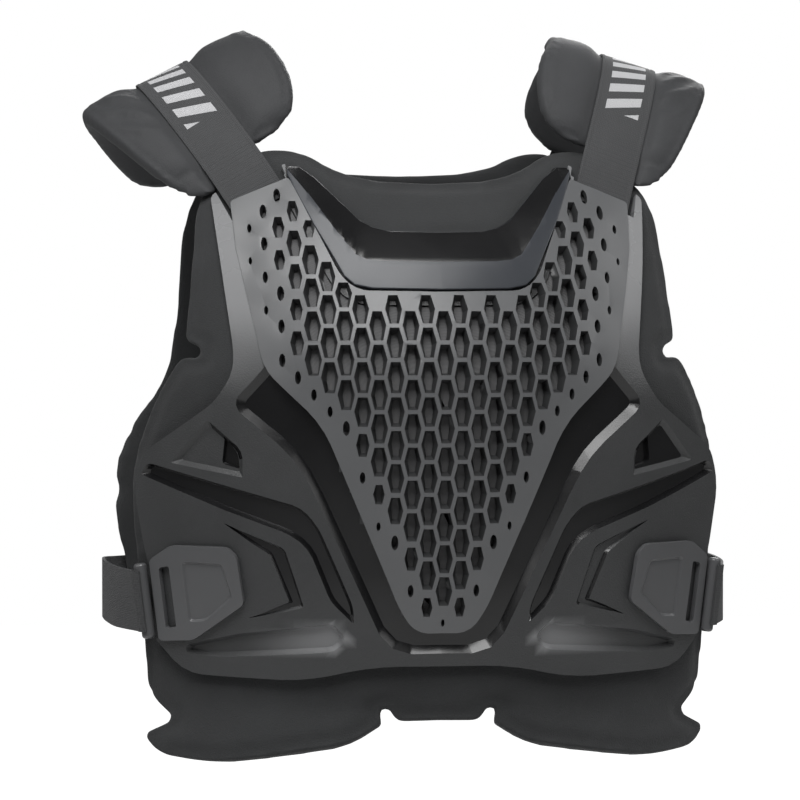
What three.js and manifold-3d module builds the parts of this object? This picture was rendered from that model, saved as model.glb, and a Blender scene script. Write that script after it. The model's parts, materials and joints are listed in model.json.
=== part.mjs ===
// Roost deflector: a padded front body with a vented hard plate, a back body, shoulder pads,
// webbing and side buckles, as worn. Millimetres, +Z up, front towards -Y, origin between the
// shoulder seats. Left is the side at -X.
//
// The layered front and back pieces are drawn flat, as (across, up, height) solids, then cut along
// one shared net of lines and bent over the torso. Every layer bends on the same net, so layers
// that are apart when flat stay apart when bent.
import * as THREE from 'three';
import { mergeVertices } from 'three/addons/utils/BufferGeometryUtils.js';
import Module from 'manifold-3d';

const wasm = await Module();
wasm.setup();

// Torso
const TORSO_HALF_WIDTH = 232;
const CHEST_DEPTH = 160;
const BACK_DEPTH = 105;

// Front body
const FRONT_HALF_WIDTH = 208;
const FRONT_HEIGHT = 474;
const LINER_THICKNESS = 9;
const BACKING_THICKNESS = 0.8;
const PLATE_THICKNESS = 6;
const FLOOR_THICKNESS = 2.5;
const PANEL_THICKNESS = 5;
const BAND_THICKNESS = 5.6;
const FACET_STEP = 2.4;
const LEDGE_WIDTH = 7;
const GROOVE_DEPTH = 3;
const SCOOP_DEPTH = 4;
const POCKET_DEPTH = 3.4;
const CLEARANCE = 0.3;

// Perforations of the chest panel
const CELL_WIDTH = 11;
const CELL_TOP_WIDTH = 6.6;
const CELL_HEIGHT = 20;
const CELL_COLUMN_PITCH = 10.95;
const CELL_ROW_PITCH = 21.8;
const CELL_TOP_ROW = -178;
const CELL_MARGIN = 7.5;
const CELL_GROWTH = 12;
const CELL_LEAST = 0.88;

// Back body
const BACK_PLATE_THICKNESS = 4;

// Shoulder pads and their webbing
const PAD_HALF_WIDTH = 63;
const PAD_THICKNESS = 14;
const PAD_LOBE_RISE = 6;
const PAD_END_THINNING = 0.64;
const STRAP_WIDTH = 40;
const STRAP_THICKNESS = 1.8;
const STRAP_TUCK = 12;
const STRAP_RUN = 42;
const STRAP_LIFT = 2;
const STRAP_ROOM = 2.6;
const TUCK_ROOM = 3;

// Side buckles and their webbing
const BUCKLE_THICKNESS = 4;
const BUCKLE_RECESS_DEPTH = 1.6;
const BAR_RADIUS = 4.6;
const BAR_LENGTH = 52;
const SIDE_STRAP_WIDTH = 42;
const SIDE_STRAP_THICKNESS = 2;

// Where the side webbing turns round the bar, in degrees from straight outboard towards the back
const BAR_TURN = [-75, -45, -15, 15];

// Shared net that the layers bend on
const NET_COLUMN = 42;
const NET_ROW = 66;

const GREY = 0x777a7b;
const DARK = 0x2c2e2f;
const MID = 0x4a4c4d;
const CLOTH = 0x34363a;
const PALE_CLOTH = 0x8d8f90;
const WEBBING = 0x55575a;

// Outlines are lists of corners of the side at +X, from the top centre round to the bottom centre.
// across is a share of FRONT_HALF_WIDTH, down of FRONT_HEIGHT, and round, the length that the
// corner's curve takes on each side of it, of FRONT_HALF_WIDTH.
const LINER_OUTLINE = [
  { across: 0.000, down: 0.158, round: 0.000 },
  { across: 0.201, down: 0.154, round: 0.053 },
  { across: 0.310, down: 0.140, round: 0.047 },
  { across: 0.424, down: 0.108, round: 0.054 },
  { across: 0.560, down: 0.107, round: 0.047 },
  { across: 0.705, down: 0.146, round: 0.087 },
  { across: 0.777, down: 0.189, round: 0.074 },
  { across: 0.827, down: 0.390, round: 0.013 },
  { across: 0.775, down: 0.400, round: 0.020 },
  { across: 0.774, down: 0.415, round: 0.010 },
  { across: 0.841, down: 0.413, round: 0.020 },
  { across: 0.922, down: 0.472, round: 0.100 },
  { across: 0.994, down: 0.567, round: 0.121 },
  { across: 0.996, down: 0.634, round: 0.134 },
  { across: 0.980, down: 0.714, round: 0.147 },
  { across: 0.952, down: 0.846, round: 0.100 },
  { across: 0.946, down: 0.905, round: 0.047 },
  { across: 0.856, down: 0.940, round: 0.013 },
  { across: 0.957, down: 0.965, round: 0.013 },
  { across: 0.910, down: 0.992, round: 0.040 },
  { across: 0.723, down: 0.999, round: 0.132 },
  { across: 0.563, down: 0.988, round: 0.145 },
  { across: 0.296, down: 0.969, round: 0.131 },
  { across: 0.187, down: 0.942, round: 0.010 },
  { across: 0.197, down: 0.918, round: 0.013 },
  { across: 0.171, down: 0.916, round: 0.013 },
  { across: 0.138, down: 0.937, round: 0.020 },
  { across: 0.000, down: 0.936, round: 0.000 },
];
const PLATE_OUTLINE = [
  { across: 0.000, down: 0.238, round: 0.000 },
  { across: 0.192, down: 0.236, round: 0.049 },
  { across: 0.266, down: 0.215, round: 0.046 },
  { across: 0.428, down: 0.140, round: 0.010 },
  { across: 0.488, down: 0.140, round: 0.010 },
  { across: 0.475, down: 0.158, round: 0.007 },
  { across: 0.663, down: 0.193, round: 0.007 },
  { across: 0.688, down: 0.178, round: 0.017 },
  { across: 0.721, down: 0.185, round: 0.020 },
  { across: 0.663, down: 0.404, round: 0.046 },
  { across: 0.663, down: 0.439, round: 0.052 },
  { across: 0.714, down: 0.478, round: 0.033 },
  { across: 0.923, down: 0.549, round: 0.030 },
  { across: 0.958, down: 0.600, round: 0.060 },
  { across: 0.928, down: 0.684, round: 0.027 },
  { across: 0.913, down: 0.715, round: 0.010 },
  { across: 0.874, down: 0.715, round: 0.010 },
  { across: 0.851, down: 0.816, round: 0.010 },
  { across: 0.894, down: 0.820, round: 0.010 },
  { across: 0.802, down: 0.869, round: 0.053 },
  { across: 0.429, down: 0.875, round: 0.078 },
  { across: 0.223, down: 0.853, round: 0.088 },
  { across: 0.000, down: 0.853, round: 0.000 },
];
const PANEL_OUTLINE = [
  { across: 0.000, down: 0.328, round: 0.000 },
  { across: 0.263, down: 0.326, round: 0.046 },
  { across: 0.319, down: 0.307, round: 0.039 },
  { across: 0.467, down: 0.165, round: 0.010 },
  { across: 0.655, down: 0.199, round: 0.010 },
  { across: 0.642, down: 0.265, round: 0.000 },
  { across: 0.562, down: 0.434, round: 0.039 },
  { across: 0.385, down: 0.509, round: 0.065 },
  { across: 0.137, down: 0.772, round: 0.071 },
  { across: 0.085, down: 0.804, round: 0.039 },
  { across: 0.000, down: 0.804, round: 0.000 },
];
const BAND_OUTLINE = [
  { across: 0.000, down: 0.243, round: 0.000 },
  { across: 0.196, down: 0.241, round: 0.049 },
  { across: 0.273, down: 0.219, round: 0.046 },
  { across: 0.435, down: 0.144, round: 0.010 },
  { across: 0.472, down: 0.150, round: 0.010 },
  { across: 0.457, down: 0.165, round: 0.010 },
  { across: 0.313, down: 0.301, round: 0.039 },
  { across: 0.260, down: 0.319, round: 0.046 },
  { across: 0.000, down: 0.321, round: 0.000 },
];
const FACET_OUTLINE = [
  { across: 0.000, down: 0.220, round: 0.000 },
  { across: 0.196, down: 0.220, round: 0.049 },
  { across: 0.420, down: 0.120, round: 0.046 },
  { across: 0.454, down: 0.140, round: 0.010 },
  { across: 0.290, down: 0.259, round: 0.046 },
  { across: 0.215, down: 0.284, round: 0.046 },
  { across: 0.000, down: 0.286, round: 0.000 },
];
const CHANNEL_OUTLINE = [
  { across: 0.000, down: 0.425, round: 0.000 },
  { across: 0.552, down: 0.425, round: 0.007 },
  { across: 0.652, down: 0.474, round: 0.020 },
  { across: 0.646, down: 0.490, round: 0.020 },
  { across: 0.475, down: 0.553, round: 0.065 },
  { across: 0.406, down: 0.609, round: 0.091 },
  { across: 0.272, down: 0.737, round: 0.045 },
  { across: 0.171, down: 0.835, round: 0.072 },
  { across: 0.000, down: 0.834, round: 0.000 },
];
const BACK_LINER_OUTLINE = [
  { across: 0.000, down: 0.133, round: 0.000 },
  { across: 0.302, down: 0.126, round: 0.078 },
  { across: 0.429, down: 0.097, round: 0.059 },
  { across: 0.546, down: 0.097, round: 0.059 },
  { across: 0.712, down: 0.142, round: 0.088 },
  { across: 0.780, down: 0.212, round: 0.078 },
  { across: 0.800, down: 0.354, round: 0.098 },
  { across: 0.840, down: 0.454, round: 0.068 },
  { across: 0.990, down: 0.531, round: 0.098 },
  { across: 1.052, down: 0.620, round: 0.110 },
  { across: 1.000, down: 0.720, round: 0.110 },
  { across: 0.950, down: 0.810, round: 0.110 },
  { across: 0.880, down: 0.896, round: 0.098 },
  { across: 0.760, down: 0.956, round: 0.098 },
  { across: 0.000, down: 0.965, round: 0.000 },
];
const BACK_PLATE_OUTLINE = [
  { across: 0.000, down: 0.212, round: 0.000 },
  { across: 0.215, down: 0.206, round: 0.068 },
  { across: 0.410, down: 0.146, round: 0.029 },
  { across: 0.663, down: 0.186, round: 0.039 },
  { across: 0.688, down: 0.265, round: 0.049 },
  { across: 0.663, down: 0.434, round: 0.068 },
  { across: 0.850, down: 0.527, round: 0.059 },
  { across: 0.880, down: 0.593, round: 0.059 },
  { across: 0.850, down: 0.704, round: 0.050 },
  { across: 0.780, down: 0.852, round: 0.107 },
  { across: 0.585, down: 0.889, round: 0.068 },
  { across: 0.000, down: 0.894, round: 0.000 },
];

// The same kind of corners, but closed round one feature of one wing.
const SCOOP = [
  { across: 0.737, down: 0.503, round: 0.010 },
  { across: 0.630, down: 0.546, round: 0.024 },
  { across: 0.628, down: 0.584, round: 0.005 },
  { across: 0.849, down: 0.565, round: 0.010 },
];
const GROOVE = [
  { across: 0.937, down: 0.583, round: 0.010 },
  { across: 0.915, down: 0.566, round: 0.015 },
  { across: 0.450, down: 0.625, round: 0.029 },
  { across: 0.396, down: 0.653, round: 0.029 },
  { across: 0.285, down: 0.766, round: 0.019 },
  { across: 0.281, down: 0.792, round: 0.010 },
  { across: 0.356, down: 0.759, round: 0.019 },
  { across: 0.426, down: 0.684, round: 0.048 },
  { across: 0.482, down: 0.664, round: 0.038 },
  { across: 0.683, down: 0.631, round: 0.019 },
];
const CHEVRON = [
  { across: 0.688, down: 0.649, round: 0.005 },
  { across: 0.500, down: 0.684, round: 0.014 },
  { across: 0.438, down: 0.768, round: 0.010 },
  { across: 0.610, down: 0.785, round: 0.005 },
  { across: 0.483, down: 0.760, round: 0.005 },
  { across: 0.546, down: 0.693, round: 0.010 },
];
const POCKET = [
  { across: 0.798, down: 0.826, round: 0.010 },
  { across: 0.643, down: 0.808, round: 0.019 },
  { across: 0.388, down: 0.793, round: 0.029 },
  { across: 0.353, down: 0.790, round: 0.014 },
  { across: 0.300, down: 0.812, round: 0.024 },
  { across: 0.339, down: 0.832, round: 0.029 },
  { across: 0.706, down: 0.843, round: 0.015 },
  { across: 0.800, down: 0.839, round: 0.015 },
];
const BUCKLE_OUTLINE = [
  { across: 0.901, down: 0.706, round: 0.013 },
  { across: 0.838, down: 0.683, round: 0.013 },
  { across: 0.671, down: 0.683, round: 0.013 },
  { across: 0.641, down: 0.696, round: 0.013 },
  { across: 0.618, down: 0.764, round: 0.013 },
  { across: 0.770, down: 0.818, round: 0.013 },
  { across: 0.872, down: 0.822, round: 0.013 },
];
const BUCKLE_RECESS = [
  { across: 0.805, down: 0.705, round: 0.010 },
  { across: 0.685, down: 0.707, round: 0.010 },
  { across: 0.652, down: 0.754, round: 0.010 },
  { across: 0.731, down: 0.789, round: 0.010 },
  { across: 0.782, down: 0.792, round: 0.010 },
];
const BUCKLE_SLOT = [
  { across: 0.872, down: 0.717, round: 0.007 },
  { across: 0.843, down: 0.713, round: 0.007 },
  { across: 0.820, down: 0.800, round: 0.007 },
  { across: 0.850, down: 0.803, round: 0.007 },
];

// How deep the torso is at each share of FRONT_HEIGHT, as a share of CHEST_DEPTH or BACK_DEPTH.
const CHEST_PROFILE = [
  { down: -0.10, depth: 0.18 },
  { down: 0.00, depth: 0.28 },
  { down: 0.095, depth: 0.41 },
  { down: 0.15, depth: 0.53 },
  { down: 0.23, depth: 0.72 },
  { down: 0.32, depth: 0.875 },
  { down: 0.46, depth: 1.00 },
  { down: 0.72, depth: 0.94 },
  { down: 0.91, depth: 0.845 },
  { down: 0.95, depth: 0.86 },
  { down: 1.00, depth: 0.92 },
  { down: 1.10, depth: 1.00 },
];
const BACK_PROFILE = [
  { down: -0.10, depth: 0.30 },
  { down: 0.00, depth: 0.45 },
  { down: 0.12, depth: 0.80 },
  { down: 0.25, depth: 1.00 },
  { down: 0.60, depth: 0.97 },
  { down: 0.80, depth: 0.86 },
  { down: 1.10, depth: 0.92 },
];

// Where each shoulder's webbing crosses the top, and how it leans there. side is -1 on the left.
// crest and rise are the middle of the webbing at the top and footAcross its end at the plate, as
// shares of FRONT_HALF_WIDTH, footDown is a share of FRONT_HEIGHT, footTurn how far the webbing runs
// inwards there for each step down, lean is in degrees, and outer and inner scale the pad's sides.
const SHOULDERS = [
  {
    name: 'left', side: -1, crest: 0.866, rise: 0.016, lean: 27,
    footAcross: 0.560, footDown: 0.198, footTurn: 0.5, outer: 1.05, inner: 1.04,
  },
  {
    name: 'right', side: 1, crest: 0.752, rise: 0.068, lean: 17,
    footAcross: 0.575, footDown: 0.198, footTurn: 0.3, outer: 0.98, inner: 0.92,
  },
];

// Pad outline along its length: span is the share of the way from the crest to the front or back
// end, outer and inner the share of PAD_HALF_WIDTH on each side of the webbing.
const PAD_OUTLINE = [
  { span: -0.70, outer: 0.46, inner: 0.50 },
  { span: -0.66, outer: 0.62, inner: 0.74 },
  { span: -0.54, outer: 0.76, inner: 0.92 },
  { span: -0.34, outer: 0.90, inner: 0.96 },
  { span: -0.14, outer: 1.00, inner: 0.98 },
  { span: 0.00, outer: 1.06, inner: 1.04 },
  { span: 0.20, outer: 0.98, inner: 0.96 },
  { span: 0.55, outer: 0.88, inner: 0.90 },
  { span: 0.66, outer: 0.66, inner: 0.66 },
  { span: 0.70, outer: 0.40, inner: 0.40 },
];
// Pad height across its width, on each side: along is the share of the way from the edge of the
// webbing's channel to the edge of the pad, rise the share of PAD_LOBE_RISE above the channel.
const PAD_SECTION = [
  { along: 0.00, rise: 0.00 },
  { along: 0.22, rise: 0.90 },
  { along: 0.55, rise: 1.00 },
  { along: 0.85, rise: 0.55 },
  { along: 1.00, rise: -0.40 },
];

// Plan of the side webbing between the bar and the back body. across is a share of
// FRONT_HALF_WIDTH and back, positive towards the back, of BACK_DEPTH.
const SIDE_STRAP_ROUTE = [
  { across: 1.030, back: -0.560 },
  { across: 1.052, back: -0.250 },
  { across: 1.062, back: 0.080 },
  { across: 1.056, back: 0.350 },
];
// The rest of it, over the back body's face: lift is a share of the height at which it lies on the
// back plate.
const SIDE_STRAP_END = [
  { across: 1.000, lift: 0.62 },
  { across: 0.930, lift: 0.80 },
  { across: 0.850, lift: 1.10 },
  { across: 0.780, lift: 1.00 },
  { across: 0.720, lift: 1.00 },
];

// Tables and outlines

function readTable(table, key, at, value) {
  let low = table[0];
  for (const row of table) {
    if (row[key] >= at) {
      const gap = row[key] - low[key];
      const t = gap > 0 ? (at - low[key]) / gap : 0;
      return THREE.MathUtils.lerp(low[value], row[value], THREE.MathUtils.clamp(t, 0, 1));
    }
    low = row;
  }
  return low[value];
}

function place(corner, side = 1) {
  return new THREE.Vector2(side * corner.across * FRONT_HALF_WIDTH, -corner.down * FRONT_HEIGHT);
}

function roundCorners(corners, radii, steps = 2) {
  const points = [];
  const count = corners.length;
  corners.forEach((corner, i) => {
    const before = corners[(i + count - 1) % count];
    const after = corners[(i + 1) % count];
    const toBefore = before.clone().sub(corner);
    const toAfter = after.clone().sub(corner);
    const reach = Math.min(radii[i], toBefore.length() * 0.45, toAfter.length() * 0.45);
    if (reach < 0.2) {
      points.push(corner.clone());
      return;
    }
    const start = corner.clone().addScaledVector(toBefore.normalize(), reach);
    const end = corner.clone().addScaledVector(toAfter.normalize(), reach);
    const curve = new THREE.QuadraticBezierCurve(start, corner, end);
    const used = reach < 4 ? 1 : steps;
    for (let k = 0; k <= used; k += 1) {
      points.push(curve.getPoint(k / used));
    }
  });
  return points;
}

function counterClockwise(points) {
  return THREE.ShapeUtils.isClockWise(points) ? points.slice().reverse() : points;
}

function mirroredOutline(table) {
  const corners = table.map((corner) => place(corner));
  const radii = table.map((corner) => corner.round * FRONT_HALF_WIDTH);
  for (let i = table.length - 2; i > 0; i -= 1) {
    corners.push(place(table[i], -1));
    radii.push(table[i].round * FRONT_HALF_WIDTH);
  }
  return counterClockwise(roundCorners(corners, radii).filter(
    (point, i, all) => point.distanceTo(all[(i + 1) % all.length]) > 0.05,
  ));
}

function closedOutline(table, side) {
  const corners = table.map((corner) => place(corner, side));
  const radii = table.map((corner) => corner.round * FRONT_HALF_WIDTH);
  return counterClockwise(roundCorners(corners, radii, 1));
}

// Moves every edge of a counter-clockwise outline outwards by the distance, or inwards if negative.
// Corners that an inset makes cross themselves drop out, as they come too near the old outline.
function offsetOutline(points, distance) {
  const count = points.length;
  const moved = points.map((point, i) => {
    const inDirection = point.clone().sub(points[(i + count - 1) % count]).normalize();
    const outDirection = points[(i + 1) % count].clone().sub(point).normalize();
    const normal = new THREE.Vector2(inDirection.y + outDirection.y, -inDirection.x - outDirection.x);
    normal.normalize();
    const spread = Math.max(0.45, normal.dot(new THREE.Vector2(inDirection.y, -inDirection.x)));
    return point.clone().addScaledVector(normal, distance / spread);
  });
  return moved.filter((point) => Math.abs(distanceInside(point, points)) > Math.abs(distance) * 0.97);
}

function distanceInside(point, outline) {
  let nearest = Infinity;
  let inside = false;
  outline.forEach((a, i) => {
    const b = outline[(i + 1) % outline.length];
    const edge = b.clone().sub(a);
    const t = THREE.MathUtils.clamp(point.clone().sub(a).dot(edge) / edge.lengthSq(), 0, 1);
    nearest = Math.min(nearest, a.clone().addScaledVector(edge, t).distanceTo(point));
    const crosses = (a.y > point.y) !== (b.y > point.y);
    if (crosses && point.x < ((b.x - a.x) * (point.y - a.y)) / (b.y - a.y) + a.x) {
      inside = !inside;
    }
  });
  return inside ? nearest : -nearest;
}

// Solids

function toSolid(geometry) {
  const bare = geometry.clone();
  bare.deleteAttribute('normal');
  bare.deleteAttribute('uv');
  const merged = mergeVertices(bare, 1e-4);
  return new wasm.Manifold(new wasm.Mesh({
    numProp: 3,
    vertProperties: new Float32Array(merged.attributes.position.array),
    triVerts: new Uint32Array(merged.index.array),
  }));
}

function toGeometry(positions, triangles) {
  const geometry = new THREE.BufferGeometry();
  geometry.setAttribute('position', new THREE.Float32BufferAttribute(positions, 3));
  geometry.setIndex(triangles);
  geometry.computeVertexNormals();
  return geometry;
}

function compact(points, triangles) {
  const used = new Map();
  const positions = [];
  const renumber = (v) => {
    if (!used.has(v)) {
      used.set(v, used.size);
      positions.push(...points[v].toArray());
    }
    return used.get(v);
  };
  const numbers = triangles.flat().map(renumber);
  return toGeometry(positions, numbers);
}

// A flat plate between two heights.
function slab(outline, low, high) {
  const geometry = new THREE.ExtrudeGeometry(new THREE.Shape(outline), {
    depth: high - low,
    bevelEnabled: false,
  });
  geometry.translate(0, 0, low);
  return toSolid(geometry);
}

function flatMesh(solid) {
  const mesh = solid.getMesh();
  const points = [];
  for (let i = 0; i < mesh.numVert; i += 1) {
    const at = i * mesh.numProp;
    points.push(new THREE.Vector3().fromArray(mesh.vertProperties, at));
  }
  const triangles = [];
  for (let i = 0; i < mesh.triVerts.length; i += 3) {
    triangles.push([mesh.triVerts[i], mesh.triVerts[i + 1], mesh.triVerts[i + 2]]);
  }
  return { points, triangles };
}

// How near a point lies to a line of the net to count as on it
const NEAR = 0.02;

// Splits the triangles along the line where measure equals level.
function splitAt(flat, measure, level) {
  const sides = flat.points.map((point) => {
    const value = measure(point) - level;
    return Math.abs(value) < NEAR ? 0 : value;
  });
  const made = new Map();
  const crossing = (a, b) => {
    const key = a < b ? `${a}_${b}` : `${b}_${a}`;
    if (!made.has(key)) {
      const [low, high] = a < b ? [a, b] : [b, a];
      const t = sides[low] / (sides[low] - sides[high]);
      flat.points.push(flat.points[low].clone().lerp(flat.points[high], t));
      made.set(key, flat.points.length - 1);
    }
    return made.get(key);
  };
  const kept = [];
  for (const triangle of flat.triangles) {
    const signs = triangle.map((i) => Math.sign(sides[i]));
    if (!(signs.includes(1) && signs.includes(-1))) {
      kept.push(triangle);
      continue;
    }
    const zero = signs.indexOf(0);
    const lone = zero >= 0 ? (zero + 1) % 3 : signs.findIndex((s) => signs.filter((o) => o === s).length === 1);
    const [a, b, c] = [triangle[lone], triangle[(lone + 1) % 3], triangle[(lone + 2) % 3]];
    if (zero >= 0) {
      const middle = crossing(a, b);
      kept.push([a, middle, c], [middle, b, c]);
    } else {
      const first = crossing(a, b);
      const last = crossing(c, a);
      kept.push([a, first, last], [first, b, c], [first, c, last]);
    }
  }
  flat.triangles = kept;
}

function torsoPoint(across, up, facing) {
  const profile = facing < 0 ? CHEST_PROFILE : BACK_PROFILE;
  const full = facing < 0 ? CHEST_DEPTH : BACK_DEPTH;
  const depth = full * readTable(profile, 'down', -up / FRONT_HEIGHT, 'depth');
  const share = THREE.MathUtils.clamp(across / TORSO_HALF_WIDTH, -0.985, 0.985);
  return new THREE.Vector3(across, facing * depth * Math.sqrt(1 - share * share), up);
}

function torsoNormal(across, up, facing) {
  const step = 2;
  const alongWidth = torsoPoint(across + step, up, facing).sub(torsoPoint(across - step, up, facing));
  const alongHeight = torsoPoint(across, up + step, facing).sub(torsoPoint(across, up - step, facing));
  return alongWidth.cross(alongHeight).normalize().multiplyScalar(-facing);
}

const netCache = new Map();

function netNode(column, row, facing) {
  const key = `${column}_${row}_${facing}`;
  if (!netCache.has(key)) {
    netCache.set(key, {
      base: torsoPoint(column * NET_COLUMN, row * NET_ROW, facing),
      normal: torsoNormal(column * NET_COLUMN, row * NET_ROW, facing),
    });
  }
  return netCache.get(key);
}

// The place of a flat point (across, up, height) on the bent net. facing is -1 in front.
function bend(across, up, height, facing) {
  const column = Math.floor(across / NET_COLUMN);
  const row = Math.floor(up / NET_ROW);
  const u = across / NET_COLUMN - column;
  const v = up / NET_ROW - row;
  const corners = u + v <= 1
    ? [[0, 0, 1 - u - v], [1, 0, u], [0, 1, v]]
    : [[1, 1, u + v - 1], [0, 1, 1 - u], [1, 0, 1 - v]];
  const place3 = new THREE.Vector3();
  for (const [i, j, weight] of corners) {
    const node = netNode(column + i, row + j, facing);
    place3.addScaledVector(node.base, weight);
    place3.addScaledVector(node.normal, weight * height);
  }
  return place3;
}

function fixFacing(positions, triangles) {
  const volume = triangles.reduce((sum, [a, b, c]) => (
    sum + positions[a].dot(positions[b].clone().cross(positions[c]))
  ), 0);
  return volume < 0 ? triangles.map(([a, b, c]) => [a, c, b]) : triangles;
}

// The net's three families of lines, each measured in mm across its own step.
const NET_FAMILIES = [
  { measure: (p) => p.x, step: NET_COLUMN },
  { measure: (p) => p.y, step: NET_ROW },
  { measure: (p) => (p.x / NET_COLUMN + p.y / NET_ROW) * NET_COLUMN, step: NET_COLUMN },
];

function netLines(point) {
  const lines = [];
  NET_FAMILIES.forEach(({ measure, step }, family) => {
    const level = Math.round(measure(point) / step);
    if (Math.abs(measure(point) - level * step) < NEAR * 1.5) {
      lines.push(`${family}_${level}`);
    }
  });
  return lines;
}

function crossOf(flat, [a, b, c]) {
  const origin = flat.points[a];
  return flat.points[b].clone().sub(origin).cross(flat.points[c].clone().sub(origin));
}

// Takes out the points that the net's lines left inside a flat face, other than the net's nodes, by
// sliding each along its own line onto a neighbour.
function thin(flat) {
  const around = flat.points.map(() => new Set());
  flat.triangles.forEach((triangle, i) => triangle.forEach((v) => around[v].add(i)));
  const lines = flat.points.map(netLines);
  const neighboursOf = (v) => new Set(
    [...around[v]].flatMap((i) => flat.triangles[i]).filter((w) => w !== v),
  );
  const tryMove = (v, w, normal) => {
    const fromV = neighboursOf(v);
    const shared = [...neighboursOf(w)].filter((x) => fromV.has(x));
    if (shared.length !== 2) {
      return false;
    }
    const staying = [...around[v]].filter((i) => !flat.triangles[i].includes(w));
    const fits = staying.every((i) => (
      crossOf(flat, flat.triangles[i].map((x) => (x === v ? w : x))).dot(normal) > 1e-4
    ));
    if (!fits) {
      return false;
    }
    for (const i of around[v]) {
      if (flat.triangles[i].includes(w)) {
        flat.triangles[i].forEach((x) => x !== v && around[x].delete(i));
        flat.triangles[i] = null;
      } else {
        flat.triangles[i] = flat.triangles[i].map((x) => (x === v ? w : x));
        around[w].add(i);
      }
    }
    around[v].clear();
    return true;
  };
  let moved = true;
  while (moved) {
    moved = false;
    for (let v = 0; v < flat.points.length; v += 1) {
      if (around[v].size === 0 || lines[v].length !== 1) {
        continue;
      }
      const crosses = [...around[v]].map((i) => crossOf(flat, flat.triangles[i]));
      const largest = crosses.reduce((a, b) => (a.lengthSq() > b.lengthSq() ? a : b));
      const normal = largest.clone().normalize();
      const isFlat = crosses.every((c) => (
        c.dot(normal) > 0 && c.clone().addScaledVector(normal, -c.dot(normal)).length() < 2e-3 * (1 + c.length())
      ));
      if (!isFlat) {
        continue;
      }
      const targets = [...neighboursOf(v)].filter((w) => lines[w].includes(lines[v][0]));
      if (targets.some((w) => tryMove(v, w, normal))) {
        moved = true;
      }
    }
  }
  flat.triangles = flat.triangles.filter((triangle) => triangle !== null);
}

function wrap(solid, facing) {
  const flat = flatMesh(solid);
  for (const { measure, step } of NET_FAMILIES) {
    const reach = flat.points.map(measure);
    const low = Math.ceil(reach.reduce((a, b) => Math.min(a, b), Infinity) / step);
    const high = Math.floor(reach.reduce((a, b) => Math.max(a, b), -Infinity) / step);
    for (let level = low; level <= high; level += 1) {
      splitAt(flat, measure, level * step);
    }
    thin(flat);
  }
  const bent = flat.points.map((p) => bend(p.x, p.y, p.z, facing));
  const triangles = fixFacing(bent, flat.triangles);
  return compact(bent, triangles);
}

// A closed solid between two surfaces over the unit square, given at (columns + 1) by (rows + 1)
// places.
function shellBetween(columns, rows, outer, inner) {
  const points = [];
  const triangles = [];
  const at = (layer, i, j) => layer * (columns + 1) * (rows + 1) + j * (columns + 1) + i;
  for (const surface of [outer, inner]) {
    for (let j = 0; j <= rows; j += 1) {
      for (let i = 0; i <= columns; i += 1) {
        points.push(surface(i / columns, j / rows));
      }
    }
  }
  const quad = (a, b, c, d) => triangles.push([a, b, c], [a, c, d]);
  for (let j = 0; j < rows; j += 1) {
    for (let i = 0; i < columns; i += 1) {
      quad(at(0, i, j), at(0, i + 1, j), at(0, i + 1, j + 1), at(0, i, j + 1));
      quad(at(1, i, j), at(1, i, j + 1), at(1, i + 1, j + 1), at(1, i + 1, j));
    }
  }
  for (let i = 0; i < columns; i += 1) {
    quad(at(0, i, 0), at(1, i, 0), at(1, i + 1, 0), at(0, i + 1, 0));
    quad(at(0, i, rows), at(0, i + 1, rows), at(1, i + 1, rows), at(1, i, rows));
  }
  for (let j = 0; j < rows; j += 1) {
    quad(at(0, 0, j), at(0, 0, j + 1), at(1, 0, j + 1), at(1, 0, j));
    quad(at(0, columns, j), at(1, columns, j), at(1, columns, j + 1), at(0, columns, j + 1));
  }
  return toGeometry(points.flatMap((p) => p.toArray()), fixFacing(points, triangles).flat());
}

const model = new THREE.Group();

function add(name, geometry, color, roughness) {
  const material = new THREE.MeshStandardMaterial({ color, roughness, metalness: 0 });
  const mesh = new THREE.Mesh(geometry, material);
  mesh.name = name;
  model.add(mesh);
}

// Heights of the front layers above the liner's face
const plateLow = CLEARANCE;
const plateHigh = plateLow + PLATE_THICKNESS;
const floorHigh = plateLow + FLOOR_THICKNESS;
const panelLow = floorHigh + CLEARANCE;
const panelHigh = panelLow + PANEL_THICKNESS;
const bandHigh = panelLow + BAND_THICKNESS;
const buckleLow = plateHigh + CLEARANCE;
const buckleHigh = buckleLow + BUCKLE_THICKNESS;

const linerOutline = mirroredOutline(LINER_OUTLINE);
const plateOutline = mirroredOutline(PLATE_OUTLINE);
const panelOutline = mirroredOutline(PANEL_OUTLINE);
const bandOutline = mirroredOutline(BAND_OUTLINE);
const channelOutline = mirroredOutline(CHANNEL_OUTLINE);
const windowOutline = offsetOutline(panelOutline, -LEDGE_WIDTH);

// Soft bodies
add('front_liner', wrap(slab(linerOutline, -LINER_THICKNESS, 0), -1), CLOTH, 0.95);
add('vent_backing', wrap(
  slab(offsetOutline(windowOutline, -CLEARANCE), plateLow, plateLow + BACKING_THICKNESS), -1,
), PALE_CLOTH, 0.95);

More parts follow.
